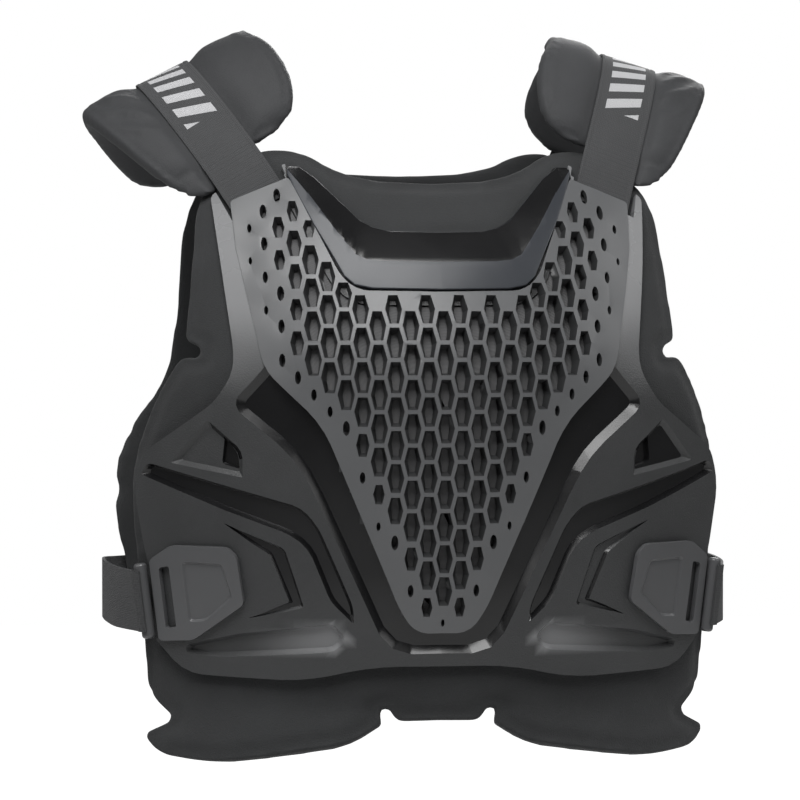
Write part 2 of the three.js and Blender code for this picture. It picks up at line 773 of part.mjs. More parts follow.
// Front plate: a thick moulding, let down to a floor in the channel and under the panel and band,
// with a window behind the perforations
function shoulderTuck(shoulder, high) {
  const centre = new THREE.Vector2(
    shoulder.side * shoulder.footAcross * FRONT_HALF_WIDTH, -shoulder.footDown * FRONT_HEIGHT,
  );
  const down = new THREE.Vector2(-shoulder.side * shoulder.footTurn, -1).normalize();
  const sideways = new THREE.Vector2(-down.y, down.x).multiplyScalar(STRAP_WIDTH / 2 + TUCK_ROOM);
  const low = centre.clone().addScaledVector(down, TUCK_ROOM);
  const upper = centre.clone().addScaledVector(down, -STRAP_TUCK * 3);
  const corners = [
    low.clone().sub(sideways), low.clone().add(sideways),
    upper.clone().add(sideways), upper.clone().sub(sideways),
  ];
  return slab(counterClockwise(corners), -1, high);
}

let basePlate = slab(plateOutline, plateLow, plateHigh);
const top = plateHigh + 5;
basePlate = basePlate
  .subtract(slab(offsetOutline(panelOutline, CLEARANCE), floorHigh, top))
  .subtract(slab(offsetOutline(bandOutline, CLEARANCE), floorHigh, top))
  .subtract(slab(channelOutline, floorHigh, top))
  .subtract(slab(windowOutline, -1, top));
for (const side of [-1, 1]) {
  basePlate = basePlate
    .subtract(slab(closedOutline(SCOOP, side), plateHigh - SCOOP_DEPTH, top))
    .subtract(slab(closedOutline(GROOVE, side), plateHigh - GROOVE_DEPTH, top))
    .subtract(slab(closedOutline(CHEVRON, side), plateHigh - GROOVE_DEPTH / 2, top))
    .subtract(slab(closedOutline(POCKET, side), plateHigh - POCKET_DEPTH, top));
}
for (const shoulder of SHOULDERS) {
  basePlate = basePlate.subtract(shoulderTuck(shoulder, plateHigh + 1));
}
add('base_plate', wrap(basePlate, -1), MID, 0.6);

// Perforated panel
function cellOutline(centre, scale) {
  const half = (CELL_WIDTH * scale) / 2;
  const topHalf = (CELL_TOP_WIDTH * scale) / 2;
  const tall = (CELL_HEIGHT * scale) / 2;
  return [
    [half, 0], [topHalf, tall], [-topHalf, tall], [-half, 0], [-topHalf, -tall], [topHalf, -tall],
  ].map(([x, y]) => new THREE.Vector2(centre.x + x, centre.y + y));
}

const cells = [];
const columnsEachWay = Math.floor(FRONT_HALF_WIDTH / CELL_COLUMN_PITCH);
const rowsDown = Math.ceil(FRONT_HEIGHT / CELL_ROW_PITCH);
for (let column = -columnsEachWay; column <= columnsEachWay; column += 1) {
  const across = TORSO_HALF_WIDTH * Math.sin((column * CELL_COLUMN_PITCH) / TORSO_HALF_WIDTH);
  const shift = column % 2 === 0 ? 0 : CELL_ROW_PITCH / 2;
  for (let row = -rowsDown; row <= rowsDown; row += 1) {
    const centre = new THREE.Vector2(across, CELL_TOP_ROW + shift - row * CELL_ROW_PITCH);
    const depth = distanceInside(centre, panelOutline);
    const scale = Math.min(1, (depth - CELL_MARGIN) / CELL_GROWTH);
    if (scale >= CELL_LEAST) {
      cells.push(cellOutline(centre, scale));
    }
  }
}
let chestPanel = slab(panelOutline, panelLow, panelHigh);
for (const cell of cells) {
  chestPanel = chestPanel.subtract(slab(cell, panelLow - 1, panelHigh + 1));
}
for (const shoulder of SHOULDERS) {
  chestPanel = chestPanel.subtract(shoulderTuck(shoulder, panelLow + STRAP_ROOM));
}
add('chest_panel', wrap(chestPanel, -1), GREY, 0.45);

const neckBand = slab(bandOutline, panelLow, bandHigh)
  .subtract(slab(mirroredOutline(FACET_OUTLINE), bandHigh - FACET_STEP, bandHigh + 1));
add('neck_band', wrap(neckBand, -1), DARK, 0.2);

// Back body
add('back_liner', wrap(slab(mirroredOutline(BACK_LINER_OUTLINE), -LINER_THICKNESS, 0), 1), CLOTH, 0.95);
const backPlateHigh = CLEARANCE + BACK_PLATE_THICKNESS;
add('back_plate', wrap(slab(mirroredOutline(BACK_PLATE_OUTLINE), CLEARANCE, backPlateHigh), 1), MID, 0.6);

// Shoulders: the webbing's middle line rises from under the panel's top edge, crosses the crest and
// comes down onto the back plate. span runs from -1 at the front foot to 1 at the back foot.
function shoulderFrame(shoulder) {
  const { side } = shoulder;
  const crest = new THREE.Vector3(
    side * shoulder.crest * FRONT_HALF_WIDTH, 0, shoulder.rise * FRONT_HALF_WIDTH,
  );
  const lean = THREE.MathUtils.degToRad(shoulder.lean);
  const crestAcross = new THREE.Vector3(-side * Math.cos(lean), 0, Math.sin(lean));
  const footAt = (facing, height) => {
    const footAcross = side * shoulder.footAcross * FRONT_HALF_WIDTH;
    const footUp = -shoulder.footDown * FRONT_HEIGHT;
    const normal = torsoNormal(footAcross, footUp, facing);
    const foot = bend(footAcross, footUp, height, facing);
    const down = bend(
      footAcross - side * STRAP_TUCK * shoulder.footTurn, footUp - STRAP_TUCK, height, facing,
    ).sub(foot).normalize();
    const across = down.clone().cross(normal).normalize();
    if (across.x * side > 0) {
      across.negate();
    }
    const lift = foot.clone().addScaledVector(down, -STRAP_RUN).addScaledVector(normal, STRAP_LIFT);
    const shelf = crest.clone().add(new THREE.Vector3(0, facing * STRAP_RUN, 0));
    return { across, curve: new THREE.CubicBezierCurve3(crest, shelf, lift, foot) };
  };
  const front = footAt(-1, CLEARANCE * 2 + STRAP_THICKNESS / 2);
  const back = footAt(1, backPlateHigh + CLEARANCE + STRAP_THICKNESS / 2);
  return (span) => {
    const half = span < 0 ? front : back;
    const t = Math.abs(span);
    const middle = half.curve.getPoint(t);
    const along = half.curve.getTangent(t).multiplyScalar(span < 0 ? -1 : 1);
    const across = crestAcross.clone().lerp(half.across, t * t * (3 - 2 * t));
    across.addScaledVector(along, -across.dot(along)).normalize();
    const up = across.clone().cross(along).multiplyScalar(-side).normalize();
    return { middle, across, up };
  };
}

const padStart = PAD_OUTLINE[0].span;
const padEnd = PAD_OUTLINE[PAD_OUTLINE.length - 1].span;

// The pad's places across: its middle, and the rows of PAD_SECTION on each side.
const padColumns = [
  ...PAD_SECTION.map((row) => ({ ...row, inward: false })).reverse(),
  ...PAD_SECTION.map((row) => ({ ...row, inward: true })),
];

function padSurface(frame, shoulder, height) {
  return (u, v) => {
    const { along, rise, inward } = padColumns[Math.round(u * (padColumns.length - 1))];
    const span = THREE.MathUtils.lerp(padStart, padEnd, v);
    const reach = readTable(PAD_OUTLINE, 'span', span, inward ? 'inner' : 'outer')
      * PAD_HALF_WIDTH * (inward ? shoulder.inner : shoulder.outer);
    const { middle, across, up } = frame(span);
    const away = THREE.MathUtils.lerp(STRAP_WIDTH / 2 + CLEARANCE, reach, along);
    return middle.clone()
      .addScaledVector(across, away * (inward ? 1 : -1))
      .addScaledVector(up, height(along, rise, Math.abs(span) / padEnd));
  };
}

const padSeat = -STRAP_THICKNESS / 2 - CLEARANCE * 2;
const strapRows = 20;
const padRows = Math.round(((padEnd - padStart) * strapRows) / 2);
for (const shoulder of SHOULDERS) {
  const frame = shoulderFrame(shoulder);
  const crown = (along, rise) => padSeat + PAD_LOBE_RISE * rise;
  const sole = (along, rise, way) => (
    padSeat - PAD_THICKNESS * (1 - PAD_END_THINNING * way ** 3) * (1 - along ** 4 / 2)
  );
  add(`shoulder_pad_${shoulder.name}`, shellBetween(
    padColumns.length - 1, padRows,
    padSurface(frame, shoulder, crown), padSurface(frame, shoulder, sole),
  ), CLOTH, 0.9);

  const strapAt = (height) => (u, v) => {
    const { middle, across, up } = frame(THREE.MathUtils.lerp(-1, 1, v));
    return middle.clone()
      .addScaledVector(across, (u - 0.5) * STRAP_WIDTH)
      .addScaledVector(up, height);
  };
  add(`shoulder_strap_${shoulder.name}`, shellBetween(
    2, strapRows, strapAt(STRAP_THICKNESS / 2), strapAt(-STRAP_THICKNESS / 2),
  ), WEBBING, 0.85);
}

// Side buckles, bars and webbing
for (const [name, side] of [['left', -1], ['right', 1]]) {
  const buckle = slab(closedOutline(BUCKLE_OUTLINE, side), buckleLow, buckleHigh)
    .subtract(slab(closedOutline(BUCKLE_RECESS, side), buckleHigh - BUCKLE_RECESS_DEPTH, buckleHigh + 1))
    .subtract(slab(closedOutline(BUCKLE_SLOT, side), buckleLow - 1, buckleHigh + 1));
  add(`buckle_plate_${name}`, wrap(buckle, -1), MID, 0.4);

  // The bar lies along the buckle's outboard edge, on the level of the plate's face
  const edgeTop = place(BUCKLE_OUTLINE[0], side);
  const edgeBottom = place(BUCKLE_OUTLINE[BUCKLE_OUTLINE.length - 1], side);
  const edge = edgeBottom.clone().sub(edgeTop).normalize();
  const outboard = new THREE.Vector2(-edge.y, edge.x);
  outboard.multiplyScalar(Math.sign(outboard.x) * side * (BAR_RADIUS + CLEARANCE * 2));
  const barHeight = plateHigh + CLEARANCE + BAR_RADIUS;
  const barEnds = [edgeTop, edgeBottom].map((end) => (
    bend(end.x + outboard.x, end.y + outboard.y, barHeight, -1)
  ));
  const middle = barEnds[0].clone().lerp(barEnds[1], 0.5);
  const direction = barEnds[1].clone().sub(barEnds[0]).normalize();
  const section = new THREE.Shape();
  section.absarc(0, 0, BAR_RADIUS, 0, Math.PI * 2);
  const bar = new THREE.ExtrudeGeometry(section, {
    steps: 1,
    curveSegments: 10,
    bevelEnabled: false,
    extrudePath: new THREE.LineCurve3(
      middle.clone().addScaledVector(direction, -BAR_LENGTH / 2),
      middle.clone().addScaledVector(direction, BAR_LENGTH / 2),
    ),
  });
  add(`buckle_bar_${name}`, bar, DARK, 0.35);

  // The webbing turns round the bar, crosses the open side and lies on the back plate
  const turnRadius = BAR_RADIUS + CLEARANCE * 2 + SIDE_STRAP_THICKNESS / 2;
  const seat = backPlateHigh + CLEARANCE * 2 + SIDE_STRAP_THICKNESS / 2;
  const railAt = (up) => {
    const onBar = middle.clone().addScaledVector(direction, (up - middle.z) / direction.z);
    const turned = BAR_TURN.map((degrees) => {
      const angle = THREE.MathUtils.degToRad(degrees);
      return new THREE.Vector3(
        onBar.x + side * Math.cos(angle) * turnRadius, onBar.y + Math.sin(angle) * turnRadius, up,
      );
    });
    const open = SIDE_STRAP_ROUTE.map((stop) => (
      new THREE.Vector3(side * stop.across * FRONT_HALF_WIDTH, stop.back * BACK_DEPTH, up)
    ));
    const resting = SIDE_STRAP_END.map((stop) => {
      const point = bend(side * stop.across * FRONT_HALF_WIDTH, up, stop.lift * seat, 1);
      return point.setZ(up);
    });
    return new THREE.CatmullRomCurve3([...turned, ...open, ...resting]);
  };
  const rails = [-1, 1].map((end) => railAt(middle.z + (end * SIDE_STRAP_WIDTH) / 2));
  const sideStrapAt = (offset) => (u, v) => {
    const [low, high] = rails.map((rail) => rail.getPoint(v));
    const tangent = rails[0].getTangent(v).add(rails[1].getTangent(v));
    const outward = new THREE.Vector3(tangent.y, -tangent.x, 0).normalize().multiplyScalar(side);
    return low.lerp(high, u).addScaledVector(outward, offset);
  };
  add(`side_strap_${name}`, shellBetween(
    1, 24, sideStrapAt(SIDE_STRAP_THICKNESS / 2), sideStrapAt(-SIDE_STRAP_THICKNESS / 2),
  ), WEBBING, 0.85);
}

export default model;
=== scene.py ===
import json
import math

import bmesh
import bpy
from bpy.props import FloatProperty, FloatVectorProperty, IntProperty, PointerProperty
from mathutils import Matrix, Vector

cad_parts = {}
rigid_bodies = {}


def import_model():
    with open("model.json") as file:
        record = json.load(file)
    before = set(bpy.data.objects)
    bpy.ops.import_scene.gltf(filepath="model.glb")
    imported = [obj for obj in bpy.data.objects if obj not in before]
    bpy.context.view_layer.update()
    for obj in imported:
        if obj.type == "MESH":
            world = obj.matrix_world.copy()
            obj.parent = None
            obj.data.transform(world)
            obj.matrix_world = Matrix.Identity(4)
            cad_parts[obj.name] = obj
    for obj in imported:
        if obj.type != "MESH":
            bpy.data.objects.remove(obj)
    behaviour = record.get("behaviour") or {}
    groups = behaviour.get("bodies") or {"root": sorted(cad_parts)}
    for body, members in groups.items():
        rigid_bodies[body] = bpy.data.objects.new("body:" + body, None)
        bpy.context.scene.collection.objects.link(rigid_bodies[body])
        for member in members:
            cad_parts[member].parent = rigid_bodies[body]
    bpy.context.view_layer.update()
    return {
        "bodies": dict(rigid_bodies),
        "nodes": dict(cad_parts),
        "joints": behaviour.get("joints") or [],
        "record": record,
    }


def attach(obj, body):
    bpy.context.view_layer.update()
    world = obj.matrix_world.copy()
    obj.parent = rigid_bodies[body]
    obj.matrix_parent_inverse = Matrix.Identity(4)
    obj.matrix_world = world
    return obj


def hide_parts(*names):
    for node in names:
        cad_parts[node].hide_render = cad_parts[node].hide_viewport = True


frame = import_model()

bl_info = {
    "name": "Roost Deflector",
    "version": (1, 0, 0),
    "blender": (4, 5, 0),
    "location": "View3D > Sidebar > Deflector",
    "description": "Builds a worn roost deflector and its studio stage",
    "category": "Add Mesh",
}

MM = 0.001
LEAST_SCALE = 0.26  # share of the full size of the smallest openings
OVAL_SCALE = 0.62  # openings under this share are ovals
DIPPED_SCALE = 0.85  # openings under this share lie in soft dips
NET_OFFSET = 0.013  # keeps the net's lines off the corners of outlines, mm
BACKING_THICKNESS = 0.8
BACKING_INSET = 7.5
WINDOW_INSET = 7.0
BACK_PLATE_THICKNESS = 4.0


# Sizes and colours

class DeflectorSizes(bpy.types.PropertyGroup):
    torso_half_width: FloatProperty(name="Torso half width", description="Half width of the torso, mm",
                                    default=232.0)
    chest_depth: FloatProperty(name="Chest depth", description="Depth of the chest, mm", default=160.0)
    back_depth: FloatProperty(name="Back depth", description="Depth of the back, mm", default=105.0)
    half_width: FloatProperty(name="Half width", description="Half width of the front body, mm",
                              default=208.0)
    height: FloatProperty(name="Height", description="Height of the front body, mm", default=474.0)
    liner: FloatProperty(name="Liner", description="Thickness of the padded bodies, mm", default=9.0)
    plate: FloatProperty(name="Plate", description="Thickness of the front plate, mm", default=7.5)
    floor: FloatProperty(name="Floor", description="Thickness of the plate in its channel, mm", default=2.5)
    panel: FloatProperty(name="Panel", description="Thickness of the vented panel, mm", default=6.0)
    band: FloatProperty(name="Band", description="Thickness of the neck band, mm", default=6.8)
    gap: FloatProperty(name="Gap", description="Gap between stacked pieces, mm", default=0.3)
    net: FloatProperty(name="Net", description="Spacing of the lines that curved faces bend on, mm",
                       default=7.0)


class CellSizes(bpy.types.PropertyGroup):
    width: FloatProperty(name="Width", description="Width of an opening at its middle, mm", default=11.4)
    top_width: FloatProperty(name="Top width", description="Width of an opening's flat top, mm", default=6.4)
    height: FloatProperty(name="Height", description="Height of an opening, mm", default=19.8)
    column: FloatProperty(name="Column pitch", description="Pitch of the columns, mm", default=10.95)
    row: FloatProperty(name="Row pitch", description="Pitch of the rows, mm", default=21.8)
    top_row: FloatProperty(name="Top row", description="Height of the middle column's top row, mm",
                           default=-178.0)
    inner_width: FloatProperty(name="Inner width", description="Share of the width left at the back",
                               default=0.5)
    inner_height: FloatProperty(name="Inner height", description="Share of the height left at the back",
                                default=0.76)
    margin: FloatProperty(name="Margin", description="Plain rim of the panel, mm", default=6.0)
    growth: FloatProperty(name="Growth", description="Width over which upper openings grow to full size, mm",
                          default=36.0)
    growth_low: FloatProperty(name="Low growth", description="The same for the lower openings, mm",
                              default=18.0)


class PadSizes(bpy.types.PropertyGroup):
    half_width: FloatProperty(name="Half width", description="Half width of a shoulder pad, mm", default=63.0)
    thickness: FloatProperty(name="Thickness", description="Thickness of a shoulder pad, mm", default=14.0)
    drop: FloatProperty(name="Drop", description="Share by which the outer lobe hangs lower", default=0.10)
    lobe: FloatProperty(name="Lobe", description="Rise of the lobes beside the webbing, mm", default=6.0)
    webbing: FloatProperty(name="Webbing", description="Width of the shoulder webbing, mm", default=40.0)
    webbing_thickness: FloatProperty(name="Webbing thickness", description="Thickness of the webbing, mm",
                                     default=1.8)
    run: FloatProperty(name="Run", description="Length over which the webbing leaves its ends straight, mm",
                       default=42.0)
    lift: FloatProperty(name="Lift", description="Rise of the webbing off the chest, mm", default=2.0)
    puff: FloatProperty(name="Puff", description="Pressure that fills the foam", default=3.0)
    frames: IntProperty(name="Frames", description="Steps of the cloth simulation", default=10)


class Looks(bpy.types.PropertyGroup):
    liner: FloatVectorProperty(name="Liner", description="Cloth of the bodies", subtype='COLOR',
                               default=(0.026, 0.027, 0.028))
    pad: FloatVectorProperty(name="Pad", description="Foam of the shoulder pads", subtype='COLOR',
                             default=(0.040, 0.041, 0.043))
    plate: FloatVectorProperty(name="Plate", description="Matte plate", subtype='COLOR',
                               default=(0.031, 0.032, 0.033))
    # The channel's near black is also painted shade in the wing recesses.
    channel: FloatVectorProperty(name="Channel", description="Gloss channel", subtype='COLOR',
                                 default=(0.006, 0.006, 0.0065))
    # Painted highlight: a lighter grey blended into the plate where the top light falls on the rails and the
    # pocket floors.
    rail: FloatVectorProperty(name="Rail", description="Satin rails", subtype='COLOR',
                              default=(0.17, 0.172, 0.176))
    panel: FloatVectorProperty(name="Panel", description="Vented panel", subtype='COLOR',
                               default=(0.092, 0.094, 0.097))
    band: FloatVectorProperty(name="Band", description="Neck band", subtype='COLOR',
                              default=(0.030, 0.033, 0.039))
    backing: FloatVectorProperty(name="Backing", description="Cloth behind the openings", subtype='COLOR',
                                 default=(0.12, 0.12, 0.122))
    webbing: FloatVectorProperty(name="Webbing", description="Webbing", subtype='COLOR',
                                 default=(0.052, 0.053, 0.055))
    print_grey: FloatVectorProperty(name="Print", description="Printed pattern on the webbing",
                                    subtype='COLOR', default=(0.42, 0.42, 0.43))
    buckle: FloatVectorProperty(name="Buckle", description="Buckles", subtype='COLOR',
                                default=(0.075, 0.076, 0.079))


class StageSettings(bpy.types.PropertyGroup):
    azimuth: FloatProperty(name="Azimuth", description="Camera azimuth, degrees", default=-7.5)
    elevation: FloatProperty(name="Elevation", description="Camera elevation, degrees", default=1.5)
    distance: FloatProperty(name="Distance", description="Camera distance, m", default=2.4)
    lens: FloatProperty(name="Lens", description="Lens, mm", default=150.0)
    key: FloatProperty(name="Key", description="Power of the top front light, W", default=32.0)
    side: FloatProperty(name="Side", description="Power of each side light, W", default=10.0)
    ambient: FloatProperty(name="Ambient", description="Strength of the even light around", default=0.10)


def sizes():
    return bpy.context.scene.deflector_sizes


def cells():
    return bpy.context.scene.deflector_cells


def pads():
    return bpy.context.scene.deflector_pads


def looks():
    return bpy.context.scene.deflector_looks


# Outlines: across is a share of the half width, down of the height, round of the half width.

LINER_OUTLINE = [
    (0.000, 0.158, 0.000), (0.201, 0.154, 0.053), (0.310, 0.140, 0.047), (0.424, 0.108, 0.054),
    (0.560, 0.107, 0.047), (0.705, 0.146, 0.087), (0.777, 0.189, 0.074), (0.827, 0.390, 0.013),
    (0.775, 0.400, 0.020), (0.774, 0.415, 0.010), (0.841, 0.413, 0.020), (0.922, 0.472, 0.100),
    (0.994, 0.567, 0.121), (0.996, 0.634, 0.134), (0.980, 0.714, 0.147), (0.952, 0.846, 0.100),
    (0.946, 0.905, 0.047), (0.856, 0.940, 0.013), (0.957, 0.965, 0.013), (0.910, 0.992, 0.040),
    (0.723, 0.999, 0.132), (0.563, 0.988, 0.145), (0.296, 0.969, 0.131), (0.187, 0.942, 0.010),
    (0.197, 0.918, 0.013), (0.171, 0.916, 0.013), (0.138, 0.937, 0.020), (0.000, 0.936, 0.000),
]
PLATE_OUTLINE = [
    (0.000, 0.238, 0.000), (0.192, 0.236, 0.049), (0.266, 0.215, 0.046), (0.428, 0.140, 0.010),
    (0.488, 0.140, 0.010), (0.475, 0.158, 0.007), (0.663, 0.193, 0.007), (0.688, 0.178, 0.017),
    (0.721, 0.185, 0.020), (0.663, 0.404, 0.046), (0.663, 0.439, 0.052), (0.714, 0.478, 0.033),
    (0.923, 0.549, 0.030), (0.958, 0.600, 0.060), (0.928, 0.684, 0.027), (0.913, 0.715, 0.010),
    (0.874, 0.715, 0.010), (0.851, 0.816, 0.010), (0.894, 0.820, 0.010), (0.802, 0.869, 0.053),
    (0.429, 0.875, 0.078), (0.223, 0.853, 0.088), (0.000, 0.853, 0.000),
]
PANEL_OUTLINE = [
    (0.000, 0.328, 0.000), (0.263, 0.326, 0.046), (0.319, 0.307, 0.039), (0.467, 0.165, 0.010),
    (0.655, 0.199, 0.010), (0.642, 0.265, 0.000), (0.562, 0.434, 0.039), (0.385, 0.509, 0.065),
    (0.137, 0.772, 0.071), (0.085, 0.804, 0.039), (0.000, 0.804, 0.000),
]
GROWTH_OUTLINE = [
    (0.000, 0.235, 0.000), (0.240, 0.235, 0.000), (0.380, 0.165, 0.000), (0.467, 0.100, 0.000),
    (0.655, 0.199, 0.010), (0.642, 0.265, 0.000), (0.562, 0.434, 0.039), (0.385, 0.509, 0.065),
    (0.137, 0.772, 0.071), (0.085, 0.804, 0.039), (0.000, 0.804, 0.000),
]
CHANNEL_OUTLINE = [
    (0.000, 0.425, 0.000), (0.552, 0.425, 0.007), (0.652, 0.474, 0.020), (0.646, 0.490, 0.020),
    (0.475, 0.553, 0.065), (0.406, 0.609, 0.091), (0.272, 0.737, 0.045), (0.171, 0.835, 0.072),
    (0.000, 0.834, 0.000),
]
BACK_LINER_OUTLINE = [
    (0.000, 0.133, 0.000), (0.302, 0.126, 0.078), (0.429, 0.097, 0.059), (0.546, 0.097, 0.059),
    (0.712, 0.142, 0.088), (0.780, 0.212, 0.078), (0.800, 0.354, 0.098), (0.840, 0.454, 0.068),
    (0.990, 0.531, 0.098), (1.052, 0.620, 0.110), (1.000, 0.720, 0.110), (0.950, 0.810, 0.110),
    (0.880, 0.896, 0.098), (0.760, 0.956, 0.098), (0.000, 0.965, 0.000),
]
BACK_PLATE_OUTLINE = [
    (0.000, 0.212, 0.000), (0.215, 0.206, 0.068), (0.410, 0.146, 0.029), (0.663, 0.186, 0.039),
    (0.688, 0.265, 0.049), (0.663, 0.434, 0.068), (0.850, 0.527, 0.059), (0.880, 0.593, 0.059),
    (0.850, 0.704, 0.050), (0.780, 0.852, 0.107), (0.585, 0.889, 0.068), (0.000, 0.894, 0.000),
]
SCOOP = [(0.737, 0.503, 0.010), (0.630, 0.546, 0.024), (0.628, 0.584, 0.005), (0.849, 0.565, 0.010)]
SCOOP_SLOT = [(0.690, 0.524, 0.008), (0.645, 0.551, 0.014), (0.640, 0.574, 0.005), (0.700, 0.566, 0.010)]
GROOVE = [
    (0.937, 0.583, 0.010), (0.915, 0.566, 0.015), (0.450, 0.625, 0.029), (0.396, 0.653, 0.029),
    (0.285, 0.766, 0.019), (0.281, 0.792, 0.010), (0.356, 0.759, 0.019), (0.426, 0.684, 0.048),
    (0.482, 0.664, 0.038), (0.683, 0.631, 0.019),
]
CHEVRON = [
    (0.688, 0.649, 0.005), (0.500, 0.684, 0.014), (0.438, 0.768, 0.010), (0.610, 0.785, 0.005),
    (0.483, 0.760, 0.005), (0.546, 0.693, 0.010),
]
POCKET = [
    (0.798, 0.826, 0.010), (0.643, 0.808, 0.019), (0.388, 0.793, 0.029), (0.353, 0.790, 0.014),
    (0.300, 0.812, 0.024), (0.339, 0.832, 0.029), (0.706, 0.843, 0.015), (0.800, 0.839, 0.015),
]
# Recesses of the wings: outline, depth and how far the walls lean in, in mm
WING_RECESSES = [(SCOOP, 3.2, 3.0), (SCOOP_SLOT, 6.2, 1.0), (GROOVE, 3.8, 2.4), (CHEVRON, 2.2, 1.6),
                 (POCKET, 4.2, 2.8)]
BUCKLE_OUTLINE = [
    (0.901, 0.706, 0.013), (0.838, 0.683, 0.013), (0.671, 0.683, 0.013), (0.641, 0.696, 0.013),
    (0.618, 0.764, 0.013), (0.770, 0.818, 0.013), (0.872, 0.822, 0.013),
]
BUCKLE_RECESS = [
    (0.805, 0.705, 0.010), (0.685, 0.707, 0.010), (0.652, 0.754, 0.010), (0.731, 0.789, 0.010),
    (0.782, 0.792, 0.010),
]
BUCKLE_SLOT = [(0.872, 0.717, 0.007), (0.843, 0.713, 0.007), (0.820, 0.800, 0.007), (0.850, 0.803, 0.007)]

# Neck band from its middle to its tip: neck edge, crease and foot, each as (across, down).
NECK_BAND = [
    ((0.000, 0.240), (0.000, 0.288), (0.000, 0.325)),
    ((0.150, 0.239), (0.180, 0.287), (0.220, 0.323)),
    ((0.205, 0.233), (0.236, 0.284), (0.276, 0.318)),
    ((0.246, 0.223), (0.268, 0.277), (0.308, 0.306)),
    ((0.300, 0.198), (0.300, 0.258), (0.334, 0.284)),
    ((0.340, 0.179), (0.332, 0.239), (0.362, 0.261)),
    ((0.380, 0.160), (0.372, 0.213), (0.396, 0.233)),
    ((0.408, 0.150), (0.410, 0.188), (0.424, 0.207)),
    ((0.432, 0.143), (0.446, 0.166), (0.452, 0.180)),
    ((0.466, 0.143), (0.468, 0.152), (0.470, 0.160)),
]

# Room in the plate for the neck band.
NECK_SEAT = [
    (0.000, 0.200, 0.000), (0.200, 0.200, 0.000), (0.400, 0.120, 0.000), (0.474, 0.120, 0.000),
    (0.474, 0.163, 0.000), (0.330, 0.300, 0.000), (0.290, 0.330, 0.000), (0.000, 0.335, 0.000),
]

CHEST_PROFILE = [
    (-0.10, 0.18), (0.00, 0.28), (0.095, 0.41), (0.15, 0.53), (0.23, 0.72), (0.32, 0.875),
    (0.46, 1.00), (0.72, 0.94), (0.91, 0.845), (0.95, 0.86), (1.00, 0.92), (1.10, 1.00),
]
BACK_PROFILE = [
    (-0.10, 0.30), (0.00, 0.45), (0.12, 0.80), (0.25, 1.00), (0.60, 0.97), (0.80, 0.86), (1.10, 0.92),
]

# Shoulders: crest, rise and foot_across are shares of the half width, foot_down of the height,
# lean is in degrees, outer and inner scale the pad's sides.
SHOULDERS = {
    "left": dict(side=-1, crest=0.866, rise=0.016, lean=27, foot_across=0.560, foot_down=0.198,
                 foot_turn=0.5, outer=1.05, inner=1.04),
    "right": dict(side=1, crest=0.752, rise=0.068, lean=17, foot_across=0.575, foot_down=0.198,
                  foot_turn=0.3, outer=0.98, inner=0.92),
}
# Pad outline by span: outer and inner shares of its half width.
PAD_OUTER = [(-0.70, 0.46), (-0.66, 0.62), (-0.54, 0.76), (-0.34, 0.88), (-0.14, 0.96), (0.00, 0.98),
             (0.20, 0.98), (0.55, 0.88), (0.66, 0.66), (0.70, 0.40)]
PAD_INNER = [(-0.70, 0.60), (-0.66, 0.86), (-0.54, 1.06), (-0.34, 1.13), (-0.14, 1.06), (0.00, 1.06),
             (0.20, 0.96), (0.55, 0.90), (0.66, 0.66), (0.70, 0.40)]
PAD_SECTION = [(0.00, 0.00), (0.14, 0.55), (0.26, 0.95), (0.50, 1.00), (0.74, 0.80), (0.86, 0.95),
               (0.94, 0.75), (1.00, -0.20)]

SIDE_ROUTE = [(1.030, -0.560), (1.052, -0.250), (1.062, 0.080), (1.056, 0.350)]
SIDE_END = [(1.000, 0.62), (0.930, 0.80), (0.850, 1.10), (0.780, 1.00), (0.720, 1.00)]
BAR_TURN = [-75, -45, -15, 15]
BAR_RADIUS = 4.6
BAR_LENGTH = 52.0
BUCKLE_THICKNESS = 4.0
SIDE_STRAP_WIDTH = 42.0
SIDE_STRAP_THICKNESS = 2.0


# Torso surface, in mm

def smooth_table(table, at):
    """Value of a two-column table at a place, through a smooth curve."""
    at = min(max(at, table[0][0]), table[-1][0])
    for i in range(len(table) - 1):
        (x0, y0), (x1, y1) = table[i], table[i + 1]
        if at <= x1:
            before = table[max(i - 1, 0)]
            after = table[min(i + 2, len(table) - 1)]
            m0 = (y1 - before[1]) / (x1 - before[0])
            m1 = (after[1] - y0) / (after[0] - x0)
            width = x1 - x0
            t = (at - x0) / width
            t2, t3 = t * t, t * t * t
            return ((2 * t3 - 3 * t2 + 1) * y0 + (t3 - 2 * t2 + t) * width * m0
                    + (3 * t2 - 2 * t3) * y1 + (t3 - t2) * width * m1)
    return table[-1][1]


def straight_table(table, at):
    """Value of a two-column table at a place, through straight lines."""
    at = min(max(at, table[0][0]), table[-1][0])
    for (x0, y0), (x1, y1) in zip(table, table[1:]):
        if at <= x1:
            return y0 + (y1 - y0) * (at - x0) / (x1 - x0)
    return table[-1][1]


def torso_depth(up, facing):
    s = sizes()
    profile = CHEST_PROFILE if facing < 0 else BACK_PROFILE
    full = s.chest_depth if facing < 0 else s.back_depth
    return full * smooth_table(profile, -up / s.height)


def torso(across, up, facing):
    """Point and outward normal of the torso, in mm."""
    width = sizes().torso_half_width
    share = max(-0.985, min(0.985, across / width))
    root = math.sqrt(1 - share * share)
    depth = torso_depth(up, facing)
    slope_x = -facing * depth * share / (width * root)
    slope_z = facing * (torso_depth(up + 2, facing) - torso_depth(up - 2, facing)) / 4 * root
    normal = Vector((-slope_x, 1.0, -slope_z)).normalized() * facing
    return Vector((across, facing * depth * root, up)), normal


def bend(across, up, height, facing):
    point, normal = torso(across, up, facing)
    return point + normal * height


def polygon(table, side=None):
    """Corners of an outline in mm; mirrored to both sides where side is None."""
    s = sizes()
    half = [(a * s.half_width, -d * s.height) for a, d, r in table]
    if side is None:
        return half + [(-x, z) for x, z in half[-2:0:-1]]
    return [(side * x, z) for x, z in half]


